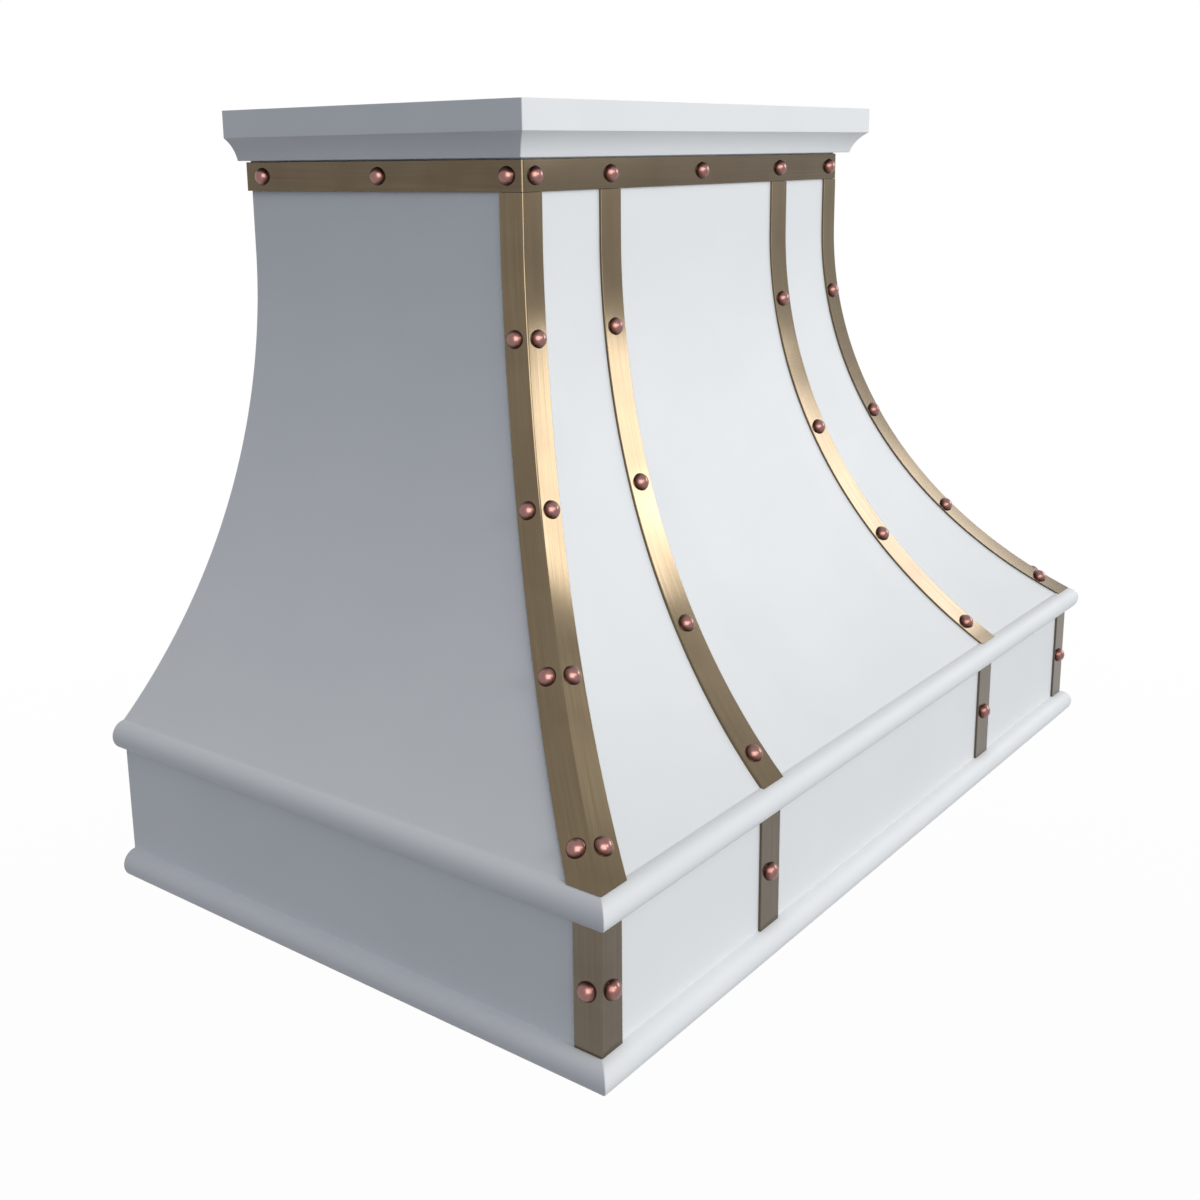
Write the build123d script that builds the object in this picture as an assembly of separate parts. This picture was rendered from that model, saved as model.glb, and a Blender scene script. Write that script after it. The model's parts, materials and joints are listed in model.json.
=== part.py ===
from build123d import *
from math import asin, cos, degrees, radians, sin, sqrt
import os

# Wall-mounted range hood: a flared sheet-steel shell with a crown above and an apron between two
# half-round rails below, trimmed with brass straps and copper rivets, and fitted out inside.
# X runs to the right seen from the front, the wall is on the +Y side and Z points up.
# While it is drawn the wall plane is y = 0; the finished pieces move back by half the depth, which
# puts the origin at the centre of the base.

# Overall size
overall_width = 1219.2
overall_depth = 732.5
overall_height = 914.4

# Sheet and clearances
sheet = 1.5
thin_sheet = 1.2
seat_gap = 0.3
running_gap = 0.05
shank_gap = 0.1
over_cut = 1.0

# Apron and rails
rail_radius = 17.5
upper_rail_z = 185.0
apron_return = 15.0

# Flared body; the tangent drops are measured down from the crown's underside
body_top_half = 344.5
body_top_depth = 434.0
side_tangent_drop = 110.0
front_tangent_drop = 95.0
neck_overlap = 7.0
back_flange = 22.0

# Crown; the overhangs are measured out from the top of the flared body
crown_side_overhang = 39.5
crown_front_overhang = 34.5
crown_height = 59.4
crown_fascia = 32.4
cove_run = 19.5
cove_sag = 3.2

# Brass trim
strap_thickness = 3.2
strap_width = 38.0
strap_top_x = 190.0
strap_foot_x = 289.5
corner_leg_top = 33.0
corner_leg_foot = 38.5
apron_leg = 33.0
band_gap = 1.6
band_height = 34.4
band_splay = 3.8
band_bend = 3.0

# Rivets; the shares are measured down a long strap from its top
rivet_radius = 10.5
rivet_height = 8.5
rivet_seat = 0.07
shank_radius = 2.4
tail_radius = 4.5
tail_thickness = 1.5
rivet_from_corner = 18.5
apron_rivet_from_corner = 17.5
apron_rivet_z = 99.0
strap_rivet_shares = (0.253, 0.537, 0.774, 0.962)
band_rivet_back = 28.0
band_rivet_mid = 224.0

# Wall fixings; the upper one is measured down from the band
wall_hole_radius = 4.5
wall_hole_spacing = 406.4
upper_fixing_drop = 49.0
lower_fixing_z = 150.0
mounting_rail_height = 40.0
mounting_rail_depth = 25.0
mounting_rail_sheet = 3.0
upper_rail_end_gap = 30.0
lower_rail_end_gap = 40.0

# Liner and filters; the strips are the plain margins round the filter opening
liner_z = 30.0
liner_gap = 1.0
liner_lip = 25.0
side_strip = 85.1
front_strip = 162.5
back_strip = 113.0
filter_thickness = 22.0
filter_rise = 8.0
filter_gap = 5.0
filter_side_gap = 3.0
filter_end_gap = 8.0
ledge_width = 14.0
neck_above_filter = 4.0
frame_lip = 16.0
frame_wall = 1.0
baffle_width = 26.0
baffle_height = 9.0
baffle_sheet = 0.8
baffle_count = 8
bail_wire = 3.0
bail_width = 80.0
bail_drop = 22.0
bail_ear = 2.0

# Lamps, knobs and grease cup
lamp_row_inset = 77.5
lamp_radius = 33.0
lamp_flange = 40.0
lamp_height = 30.0
lamp_inner_x = 210.0
lamp_outer_inset = 130.6
knob_x = 60.0
knob_radius = 20.0
knob_taper = 3.0
knob_edge = 1.0
knob_height = 17.0
knob_notch = 2.0
knob_shaft = 3.0
knob_socket = 14.0
control_box_size = (200.0, 68.0, 44.0)
cup_y = -60.0
cup_width = 48.0
cup_depth = 70.0
cup_height = 18.0
cup_rim = 4.0
cup_rim_thickness = 1.0
cup_hang = 2.0
cup_pull = 24.0
cup_pull_reach = 12.0
drain_radius = 6.0

# Blower
wheel_radius = 95.0
wheel_half = 95.0
blade_depth = 15.0
blade_angle = 35.0
blade_count = 32
wheel_clearance = 13.0
wheel_end_gap = 7.0
inlet_lap = 7.0
scroll_growth = 14.0
scroll_centre_z = 350.0
scroll_throat = 10.0
outlet_rise = 140.0
blower_box_margin = 63.0
blower_box_gap = 22.0
blower_back_gap = 12.0
motor_radius = 45.0
motor_length = 80.0
motor_edge = 4.0
motor_post = 8.0
motor_shaft_radius = 4.0
bracket_arm = 14.0
bracket_overlap = 10.0
bracket_turn = 30.0
plenum_height = 126.0

# Duct, collar and damper; the collar stands this far below the crown's top
duct_radius = 100.0
duct_sheet = 0.8
duct_y = -217.0
duct_rise = 70.0
collar_sheet = 1.0
collar_flange = 125.0
collar_setback = 6.4
collar_overlap = 12.0
collar_bead = 2.0
collar_bead_height = 3.0
damper_drop = 30.0
damper_pin_radius = 2.0
damper_plate = 0.8
damper_edge_gap = 0.6
damper_stop = 4.0
knuckle_radius = 3.5
knuckle_length = 20.0

# Electrics
junction_x = 250.0
junction_size = (120.0, 120.0, 60.0)
grommet_hole = 8.0
grommet_radius = 11.0
grommet_lip = 3.0
grommet_lip_thickness = 2.0
lead_radius = 3.5
lamp_lead_radius = 2.5
lead_spread = 20.0
lead_bend = 35.0
lead_clearance = 40.0
lead_entry_drop = 50.0

# Pan-head screws
screw_head = 4.0
screw_height = 2.2
screw_crown = 0.7
screw_recess = (4.5, 1.0, 0.6)
screw_inset = 10.0
apron_screw_levels = (60.0, 130.0)
flange_screw_count = 5
flange_screw_end = 60.0
liner_screw_y = (-120.0, -340.0, -560.0)
liner_screw_rise = 15.0
collar_screw_count = 6

# Heights and half sizes that follow from the sizes above
apron_half = overall_width / 2 - rail_radius
apron_depth = overall_depth - rail_radius
inner_half = apron_half - sheet
inner_depth = apron_depth - sheet
upper_rail_top = upper_rail_z + rail_radius
crown_half = body_top_half + crown_side_overhang
crown_depth = body_top_depth + crown_front_overhang
crown_base_z = overall_height - crown_height
neck_top_z = crown_base_z + neck_overlap
band_top_z = crown_base_z - band_gap
band_bottom_z = band_top_z - band_height
side_tangent_z = crown_base_z - side_tangent_drop
front_tangent_z = crown_base_z - front_tangent_drop
upper_fixing_z = band_bottom_z - upper_fixing_drop
strap_run = band_bottom_z - upper_rail_top
strap_rivet_levels = [band_bottom_z - share * strap_run for share in strap_rivet_shares]
band_rivet_x = (0.0, strap_top_x, -strap_top_x)

# Filter opening, filters, lamps and cup
opening_half = inner_half - side_strip
opening_front_y = front_strip - inner_depth
opening_back_y = -back_strip
filter_pitch = 2 * (opening_half - filter_side_gap) / 3
filter_width = filter_pitch - filter_gap
filter_front_y = opening_front_y + filter_end_gap
filter_back_y = opening_back_y - filter_end_gap
filter_bottom_z = liner_z + filter_rise
liner_neck_z = filter_bottom_z + filter_thickness + neck_above_filter
strip_y = lamp_row_inset - inner_depth
lamp_outer_x = inner_half - lamp_outer_inset
lamp_x = (-lamp_outer_x, -lamp_inner_x, lamp_inner_x, lamp_outer_x)
cup_x = (opening_half + inner_half) / 2

# Blower, plenum and duct
plenum_top_z = liner_neck_z + plenum_height
wheel_inner = wheel_radius - blade_depth
scroll_radius = wheel_radius + wheel_clearance
scroll_reach = scroll_radius + 3 * scroll_growth
scroll_half = wheel_half + wheel_end_gap
inlet_radius = wheel_radius - inlet_lap
wheel_y = duct_y - (scroll_reach + scroll_throat) / 2
outlet_z = scroll_centre_z + outlet_rise
blower_box_half = scroll_half + blower_box_margin
blower_back_y = wheel_y + scroll_reach + blower_back_gap
duct_foot_z = outlet_z + duct_rise
lead_entry_z = outlet_z - lead_entry_drop
collar_radius = duct_radius + seat_gap + collar_sheet
bead_radius = collar_radius + collar_bead
collar_top_z = overall_height - collar_setback
damper_z = collar_top_z - damper_drop


class Flare:
    """A line that drops straight from the top, then sweeps outward on one tangent arc."""

    def __init__(self, top, foot, tangent_z, foot_z=upper_rail_top):
        self.top = top
        self.tangent_z = tangent_z
        drop = tangent_z - foot_z
        sweep = foot - top
        self.radius = (drop**2 + sweep**2) / (2 * sweep)

    def reach(self, z, offset=0.0):
        """Distance from the middle at height z, for the line moved outward by offset."""
        radius = self.radius - offset
        drop = max(self.tangent_z - z, 0.0)
        return self.top + self.radius - sqrt(radius**2 - drop**2)

    def tilt(self, z, offset=0.0):
        """Angle in degrees by which the line moved outward by offset leans out at height z."""
        return degrees(asin(max(self.tangent_z - z, 0.0) / (self.radius - offset)))

    def region(self, offset, low_z, high_z, inner=None):
        """Closed outline from the far side, or from inner, to the line; local x is outward."""
        start = self.top + offset
        foot = self.reach(low_z, offset)
        back = -foot if inner is None else inner
        right = Line((start, high_z), (start, self.tangent_z))
        right += TangentArc((start, self.tangent_z), (foot, low_z), tangent=(0, -1))
        if inner is None:
            left = mirror(right, about=Plane.YZ)
            edges = right + left + Line((foot, low_z), (back, low_z))
            edges += Line((start, high_z), (-start, high_z))
        else:
            edges = right + Polyline((foot, low_z), (back, low_z), (back, high_z), (start, high_z))
        return make_face(edges)


side_flare = Flare(body_top_half, apron_half, side_tangent_z)
front_flare = Flare(body_top_depth, apron_depth, front_tangent_z)
strap_line = Flare(strap_top_x, strap_foot_x, side_tangent_z)

# A flat rivet foot on the hollow of the sweep stands off by the sweep's rise under it
tightest_sweep = min(side_flare.radius, front_flare.radius) - strap_thickness
rivet_lift = rivet_radius**2 / (2 * tightest_sweep) + rivet_seat

side_view = Plane(origin=(0, 0, 0), x_dir=(1, 0, 0), z_dir=(0, -1, 0))
front_view = Plane(origin=(0, 0, 0), x_dir=(0, -1, 0), z_dir=(-1, 0, 0))


def save(name, shape):
    """Write one node, moved from the wall plane to the centre of the base."""
    placed = Pos(0, overall_depth / 2, 0) * shape
    export_step(placed, f"parts/{name}.step")


def block(x0, x1, y0, y1, z0, z1):
    """Box between two corners."""
    box = Box(abs(x1 - x0), abs(y1 - y0), abs(z1 - z0))
    return Pos((x0 + x1) / 2, (y0 + y1) / 2, (z0 + z1) / 2) * box


def rod(radius, start, direction, length):
    """Solid cylinder from a start point along a direction."""
    return extrude(Plane(origin=start, z_dir=direction) * Circle(radius), length)


def tube(outer, inner, start, direction, length):
    """Hollow cylinder from a start point along a direction."""
    return rod(outer, start, direction, length) - rod(inner, start, direction, length)


def side_block(flare, offset, low_z, high_z, depth=overall_depth):
    """Everything between the two side outlines, from the wall forward."""
    return extrude(side_view * flare.region(offset, low_z, high_z), depth)


def front_block(flare, offset, low_z, high_z):
    """Everything between the wall and the front outline, right across."""
    face = flare.region(offset, low_z, high_z, inner=0.0)
    return extrude(front_view * face, overall_width / 2, both=True)


def half_space(side):
    """The left or right half of the room, as a large box."""
    width, depth = overall_width, 2 * overall_depth
    return block(0, side * width, -depth, depth, -over_cut, 2 * overall_height)


def front_rivet_site(x, z, offset=strap_thickness + rivet_lift):
    """Seat and outward direction of a rivet on the flared front."""
    tilt = radians(front_flare.tilt(z, offset))
    y = -front_flare.reach(z, offset)
    return (x, y, z), (0, -cos(tilt), sin(tilt))


def side_rivet_site(side, y, z, offset=strap_thickness + rivet_lift):
    """Seat and outward direction of a rivet on a flared side; side is -1 for left, 1 for right."""
    tilt = radians(side_flare.tilt(z, offset))
    x = side * side_flare.reach(z, offset)
    return (x, y, z), (side * cos(tilt), 0, sin(tilt))


def band_stand_off(y):
    """Gap behind the top band's side at depth y: it springs off a little towards the wall."""
    return band_splay * (1 + y / body_top_depth)


def rivet_sites():
    """Every rivet as (seat point, outward direction)."""
    sites = []
    band_z = (band_bottom_z + band_top_z) / 2
    corner_x = body_top_half - rivet_from_corner
    for x in band_rivet_x + (corner_x, -corner_x):
        sites.append(front_rivet_site(x, band_z))
    for side in (-1, 1):
        for y in (-band_rivet_back, -band_rivet_mid, rivet_from_corner - body_top_depth):
            x = body_top_half + strap_thickness + rivet_lift + band_stand_off(y)
            sites.append(((side * x, y, band_z), (side, -band_splay / body_top_depth, 0)))
        for z in strap_rivet_levels:
            corner_x = side_flare.reach(z, strap_thickness) - rivet_from_corner
            corner_y = rivet_from_corner - front_flare.reach(z, strap_thickness)
            sites.append(front_rivet_site(side * corner_x, z))
            sites.append(side_rivet_site(side, corner_y, z))
            sites.append(front_rivet_site(side * strap_line.reach(z), z))
        face_y = -apron_depth - strap_thickness - rivet_lift
        edge_x = apron_half + strap_thickness + rivet_lift
        inset_x = edge_x - apron_rivet_from_corner
        sites.append(((side * inset_x, face_y, apron_rivet_z), (0, -1, 0)))
        sites.append(((side * strap_foot_x, face_y, apron_rivet_z), (0, -1, 0)))
        inset_y = face_y + apron_rivet_from_corner
        sites.append(((side * edge_x, inset_y, apron_rivet_z), (side, 0, 0)))
    return sites


def rivet(grip):
    """Domed head on a shank of the given grip, with the tail that is set behind the sheet."""
    sphere = (rivet_radius**2 + rivet_height**2) / (2 * rivet_height)
    half_turn = asin(rivet_radius / sphere) / 2
    bend = (sphere * sin(half_turn), rivet_height - sphere + sphere * cos(half_turn))
    outline = Polyline((0, rivet_height), (0, -grip), (shank_radius, -grip), (shank_radius, 0),
                       (rivet_radius, 0))
    outline += ThreePointArc((rivet_radius, 0), bend, (0, rivet_height))
    head = revolve(Plane.XZ * make_face(outline), Axis.Z)
    tail = rod(tail_radius, (0, 0, -grip), (0, 0, -1), tail_thickness)
    return head + tail


def rivets(sites):
    """All the rivets, each seated on its strap."""
    placed = []
    for seat, direction in sites:
        on_band_side = band_bottom_z < seat[2] and direction[0] != 0
        stand_off = band_stand_off(seat[1]) if on_band_side else 0
        fastener = rivet(strap_thickness + sheet + stand_off + 2 * rivet_lift)
        placed.append(Plane(origin=seat, z_dir=direction).location * fastener)
    save("rivets", Compound(placed))


def rivet_holes(sites):
    """Clearance holes for the shanks at the given sites, drilled inward from above the strap."""
    start_height = 2 * strap_thickness
    length = start_height + strap_thickness + band_splay + 4 * sheet
    holes = []
    for seat, direction in sites:
        start = Vector(*seat) + Vector(*direction) * start_height
        holes.append(rod(shank_radius + shank_gap, start, Vector(*direction) * -1, length))
    return holes


def cut_holes(shape, sites):
    """Cut the shank holes of the sites that lie inside the shape's box or close beside it."""
    box = shape.bounding_box()
    margin = strap_thickness + band_splay + 2 * sheet
    near = []
    for site in sites:
        x, y, z = site[0]
        inside_x = box.min.X - margin < x < box.max.X + margin
        inside_y = box.min.Y - margin < y < box.max.Y + margin
        inside_z = box.min.Z < z < box.max.Z
        if inside_x and inside_y and inside_z:
            near.append(site)
    for hole in rivet_holes(near):
        shape = shape - hole
    return shape


def body_panels(sites):
    """Front, left and right flared panels; the sides have a flange along the wall."""
    low, high = upper_rail_top, neck_top_z
    outer_side = side_block(side_flare, 0, low, high)
    inner_side = side_block(side_flare, -sheet, low, high)
    outer_front = front_block(front_flare, 0, low, high)
    inner_front = front_block(front_flare, -sheet, low, high)
    front = (outer_front - inner_front) & inner_side
    save("front_panel", cut_holes(front, sites))
    flange = side_block(side_flare, 0, low, high) - side_block(side_flare, -back_flange, low, high)
    flange = flange & block(-overall_width, overall_width, -2 * sheet, -sheet, low, high)
    sides = ((outer_side - inner_side) & outer_front) + flange
    for name, side in (("left_panel", -1), ("right_panel", 1)):
        panel = sides & half_space(side)
        save(name, cut_holes(panel, sites))


def apron_panels(sites):
    """Flat panels between the rails, each with a return flange at its foot."""
    top = upper_rail_top - seat_gap
    front = block(-inner_half, inner_half, -apron_depth, -inner_depth, 0, top)
    reach = inner_half - apron_return
    front += block(-reach, reach, -inner_depth, -inner_depth + apron_return, 0, sheet)
    save("apron_front", cut_holes(front, sites))
    for name, side in (("apron_left", -1), ("apron_right", 1)):
        panel = block(side * inner_half, side * apron_half, -apron_depth, 0, 0, top)
        foot_x = side * (inner_half - apron_return)
        panel += block(foot_x, side * inner_half, -inner_depth, -sheet - seat_gap, 0, sheet)
        flange_x = side * (inner_half - back_flange)
        panel += block(flange_x, side * inner_half, -2 * sheet, -sheet, 0, top)
        save(name, cut_holes(panel, sites))


def mitred_run(name, half, depth, inward, side_face, front_face):
    """Three lengths of one moulding round the front and sides, mitred at the corners."""
    reach = 2 * rail_radius
    inset = inward + over_cut
    outline = Polyline(
        (-half - reach, -depth - reach),
        (half + reach, -depth - reach),
        (half - inset, -depth + inset),
        (inset - half, -depth + inset),
        close=True,
    )
    wedge = Pos(0, 0, -over_cut) * extrude(make_face(outline), overall_height + 2 * over_cut)
    front_plane = Plane(origin=(0, -depth, 0), x_dir=(0, -1, 0), z_dir=(-1, 0, 0))
    front = extrude(front_plane * front_face, half + reach, both=True) & wedge
    save(f"{name}_front", front)
    side_plane = Plane(origin=(half, 0, 0), x_dir=(1, 0, 0), z_dir=(0, -1, 0))
    right = extrude(side_plane * side_face, depth + reach) - wedge
    save(f"{name}_right", right)
    save(f"{name}_left", mirror(right, about=Plane.YZ))


def rails():
    """Hollow half-round rails on the apron."""
    for name, z in (("lower_rail", rail_radius), ("upper_rail", upper_rail_z)):
        disc = Circle(rail_radius) - Circle(rail_radius - sheet)
        face = Pos(0, z) * (disc & Pos(rail_radius, 0) * Rectangle(2 * rail_radius, 4 * rail_radius))
        mitred_run(name, apron_half, apron_depth, 0, face, face)


def crown():
    """Crown of folded sheet: flat fascia, shallow cove and a lip that reaches the neck."""
    fascia_z = overall_height - crown_fascia
    faces = []
    for lip in (crown_side_overhang - seat_gap, crown_front_overhang - seat_gap):
        chord = Vector(cove_run, fascia_z - crown_base_z).normalized()
        normal = Vector(-chord.Y, chord.X)
        foot = Vector(-cove_run, crown_base_z)
        head = Vector(0, fascia_z)
        bend = (foot + head) * 0.5 + normal * cove_sag
        inner_foot = Vector(-cove_run - sheet, crown_base_z + sheet)
        outline = Polyline((0, fascia_z), (0, overall_height), (-sheet, overall_height),
                           (-sheet, fascia_z + sheet / 2))
        inner_head = Vector(-sheet, fascia_z + sheet / 2)
        inner_bend = (inner_foot + inner_head) * 0.5 + normal * cove_sag
        outline += ThreePointArc(inner_head, inner_bend, inner_foot)
        outline += Polyline(inner_foot, (-lip, crown_base_z + sheet), (-lip, crown_base_z), foot)
        outline += ThreePointArc(foot, bend, (0, fascia_z))
        faces.append(make_face(outline))
    inward = max(crown_side_overhang, crown_front_overhang)
    mitred_run("crown", crown_half, crown_depth, inward, faces[0], faces[1])


def top_and_back():
    """Top plate with the duct hole, back panel, and the two mounting rails behind it."""
    half = crown_half - cove_run - 2 * sheet
    front_y = -crown_depth + cove_run + 2 * sheet
    plate = block(-half, half, front_y, 0, neck_top_z, neck_top_z + sheet)
    plate -= rod(bead_radius + running_gap, (0, duct_y, 0), (0, 0, 1), overall_height)
    plate -= rod(grommet_radius + shank_gap, (junction_x, duct_y, 0), (0, 0, 1), overall_height)
    save("top_plate", plate)
    back = side_block(side_flare, -sheet - seat_gap, upper_rail_top, neck_top_z, sheet)
    low_half = inner_half - seat_gap
    back += block(-low_half, low_half, -sheet, 0, 0, upper_rail_top)
    holes = [rod(wall_hole_radius, (x, over_cut, z), (0, -1, 0), mounting_rail_depth)
             for x in (-wall_hole_spacing / 2, wall_hole_spacing / 2)
             for z in (lower_fixing_z, upper_fixing_z)]
    for hole in holes:
        back -= hole
    save("back_panel", back)
    reach = mounting_rail_height / 2
    front_y = -sheet - mounting_rail_depth
    for name, z, half in (("upper_mounting_rail", upper_fixing_z, body_top_half - upper_rail_end_gap),
                          ("lower_mounting_rail", lower_fixing_z, apron_half - lower_rail_end_gap)):
        rail = block(-half, half, front_y, -sheet, z - reach, z + reach)
        inner = reach - mounting_rail_sheet
        rail -= block(-half, half, front_y, -sheet - mounting_rail_sheet, z - inner, z + inner)
        for hole in holes:
            rail -= hole
        save(name, rail)


def brass_trim(sites):
    """Top band, long straps on the flare and short straps on the apron."""
    low, high = upper_rail_top, band_bottom_z - seat_gap
    t = strap_thickness
    back_half = body_top_half + band_splay
    inner = make_face(Polyline((-back_half, 0), (-body_top_half, -body_top_depth),
                               (body_top_half, -body_top_depth), (back_half, 0), close=True))
    outer = make_face(Polyline((-back_half - t, 0), (-body_top_half - t, -body_top_depth - t),
                               (body_top_half + t, -body_top_depth - t), (back_half + t, 0),
                               close=True))
    band = extrude(outer - inner, band_height)
    bends = band.edges().filter_by(Axis.Z).group_by(Axis.Y)[0]
    band = Pos(0, 0, band_bottom_z) * fillet(bends, band_bend)
    save("top_band", cut_holes(band, sites))

    front_skin = front_block(front_flare, t, low, high) - front_block(front_flare, 0, low, high)
    half = strap_width / 2
    outer_line = strap_line.region(half, low, high)
    inner_line = strap_line.region(-half, low, high)
    for name, side in (("face_strap_left", -1), ("face_strap_right", 1)):
        window = extrude(side_view * (outer_line - inner_line), overall_depth)
        strap = front_skin & window & half_space(side)
        save(name, cut_holes(strap, sites))

    wrap = side_block(side_flare, t, low, high, overall_depth + t)
    wrap = wrap & front_block(front_flare, t, low, high)
    core = side_block(side_flare, 0, low, high) & front_block(front_flare, 0, low, high)
    leg_top, leg_foot = t - corner_leg_top, t - corner_leg_foot
    side_leg = Flare(body_top_half + leg_top, apron_half + leg_foot, side_tangent_z)
    front_leg = Flare(body_top_depth + leg_top, apron_depth + leg_foot, front_tangent_z)
    behind_legs = front_block(front_leg, 0, low, high)
    between_legs = side_block(side_leg, 0, low, high, overall_depth + t)
    straps = wrap - core - behind_legs - between_legs
    for name, side in (("corner_strap_left", -1), ("corner_strap_right", 1)):
        save(name, cut_holes(straps & half_space(side), sites))

    low_z = 2 * rail_radius
    high_z = upper_rail_z - rail_radius
    face_y = -apron_depth - t
    for name, x in (("apron_strap_left", -strap_foot_x), ("apron_strap_right", strap_foot_x)):
        strap = block(x - half, x + half, face_y, -apron_depth, low_z, high_z)
        save(name, cut_holes(strap, sites))
    for name, side in (("apron_corner_strap_left", -1), ("apron_corner_strap_right", 1)):
        edge = apron_half + t
        strap = block(side * (edge - apron_leg), side * edge, face_y, -apron_depth, low_z, high_z)
        strap += block(side * apron_half, side * edge, face_y, face_y + apron_leg, low_z, high_z)
        save(name, cut_holes(strap, sites))


def liner():
    """Stainless pan that closes the underside, the cup's two welded guides, and the grease cup."""
    z0, z1 = liner_z, liner_z + thin_sheet
    half, front_y = inner_half - liner_gap, -inner_depth + liner_gap
    back_y = -2 * sheet - liner_gap
    pan = block(-half, half, front_y, back_y, z0, z0 + liner_lip)
    t = thin_sheet
    pan -= block(t - half, half - t, front_y + t, back_y - t, z1, z0 + liner_lip + over_cut)
    pan += block(-opening_half - t, opening_half + t, opening_front_y - t, opening_back_y + t,
                 z0, liner_neck_z)
    pan -= block(-opening_half, opening_half, opening_front_y, opening_back_y,
                 z0 - over_cut, liner_neck_z + over_cut)
    ledge_z = filter_bottom_z - seat_gap
    for y, reach in ((opening_front_y, ledge_width), (opening_back_y, -ledge_width)):
        pan += block(-opening_half, opening_half, y, y + reach, ledge_z - t, ledge_z)
    hole_height = 4 * thin_sheet
    for x in lamp_x:
        pan -= rod(lamp_radius + seat_gap, (x, strip_y, z0 - t), (0, 0, 1), hole_height)
    for x in (-knob_x, knob_x):
        pan -= rod(knob_shaft + seat_gap, (x, strip_y, z0 - t), (0, 0, 1), hole_height)
    pan -= rod(drain_radius, (cup_x, cup_y, z0 - t), (0, 0, 1), hole_height)
    pieces = [pan]
    guide_z = z0 - cup_hang - cup_rim_thickness - seat_gap
    y0, y1 = cup_y - cup_depth / 2, cup_y + cup_depth / 2
    for side in (-1, 1):
        wall_x = cup_x + side * (cup_width / 2 + cup_rim + seat_gap)
        guide = block(wall_x, wall_x + side * t, y0, y1, guide_z - t, z0)
        guide += block(wall_x, wall_x - side * cup_rim, y0, y1, guide_z - t, guide_z)
        pieces.append(guide)
    save("liner_pan", Compound(pieces))

    rim_top = z0 - cup_hang
    rim_half = cup_width / 2 + cup_rim
    cup = block(cup_x - cup_width / 2, cup_x + cup_width / 2, y0, y1, rim_top - cup_height, rim_top)
    cup += block(cup_x - rim_half, cup_x + rim_half, y0, y1, rim_top - cup_rim_thickness, rim_top)
    cup -= block(cup_x - cup_width / 2 + t, cup_x + cup_width / 2 - t, y0 + t, y1 - t,
                 rim_top - cup_height + t, rim_top + t)
    pull = block(cup_x - cup_pull / 2, cup_x + cup_pull / 2, y0 - cup_pull_reach, y0,
                 rim_top - cup_rim_thickness, rim_top)
    save("grease_cup", cup + pull)


def filters():
    """Three lift-out baffle filters: a channel frame, two rows of baffles and a drop bail."""
    for name, column in (("left", -1), ("centre", 0), ("right", 1)):
        x = column * filter_pitch
        z0, z1 = filter_bottom_z, filter_bottom_z + filter_thickness
        half = filter_width / 2
        y0, y1 = filter_front_y, filter_back_y
        w, lip = frame_wall, frame_lip
        frame = block(x - half, x + half, y0, y1, z0, z1)
        frame -= block(x - half + w, x + half - w, y0 + w, y1 - w, z0 + w, z1 - w)
        frame -= block(x - half + lip, x + half - lip, y0 + lip, y1 - lip,
                       z0 - over_cut, z1 + over_cut)
        pivot_y, pivot_z = y0 + lip - 2 * bail_wire, z0 - bail_wire - bail_ear
        for side in (-1, 1):
            ear_x = x + side * (bail_width / 2 - bail_wire - bail_ear - seat_gap)
            ear = block(ear_x, ear_x - side * bail_ear, pivot_y - bail_wire, pivot_y + bail_wire,
                        pivot_z - bail_wire - bail_ear, z0)
            ear -= rod(bail_wire / 2 + running_gap, (ear_x - side * 2 * bail_ear, pivot_y, pivot_z),
                       (side, 0, 0), 4 * bail_ear)
            frame += ear
        save(f"filter_frame_{name}", frame)
        save(f"filter_baffles_{name}", baffles(x))
        save(f"filter_bail_{name}", bail(x, pivot_y, pivot_z))


def baffles(x):
    """Two rows of folded channels, open towards each other and set half a pitch apart."""
    run = filter_width - 2 * (frame_wall + seat_gap)
    pitch = (run - baffle_width) / (baffle_count - 1)
    y0, y1 = filter_front_y + frame_wall + seat_gap, filter_back_y - frame_wall - seat_gap
    low = filter_bottom_z + frame_wall
    high = filter_bottom_z + filter_thickness - frame_wall
    pieces = []
    t = baffle_sheet
    half = baffle_width / 2
    for i in range(baffle_count):
        middle = x - run / 2 + half + i * pitch
        channel = block(middle - half, middle + half, y0, y1, low, low + baffle_height)
        pieces.append(channel - block(middle - half + t, middle + half - t, y0, y1, low + t, high))
        if i < baffle_count - 1:
            middle += pitch / 2
            channel = block(middle - half, middle + half, y0, y1, high - baffle_height, high)
            cavity = block(middle - half + t, middle + half - t, y0, y1, low, high - t)
            pieces.append(channel - cavity)
    return Compound(pieces)


def bail(x, y, z):
    """Wire handle that hangs from the frame: a U with its two ends turned inward as pivots."""
    half = bail_width / 2 - bail_wire / 2
    reach = bail_wire + 2 * bail_ear
    path = FilletPolyline((x - half + reach, y, z), (x - half, y, z), (x - half, y, z - bail_drop),
                          (x + half, y, z - bail_drop), (x + half, y, z), (x + half - reach, y, z),
                          radius=bail_wire)
    section = Plane(origin=path @ 0, z_dir=path % 0) * Circle(bail_wire / 2)
    return sweep(section, path=path)


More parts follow.
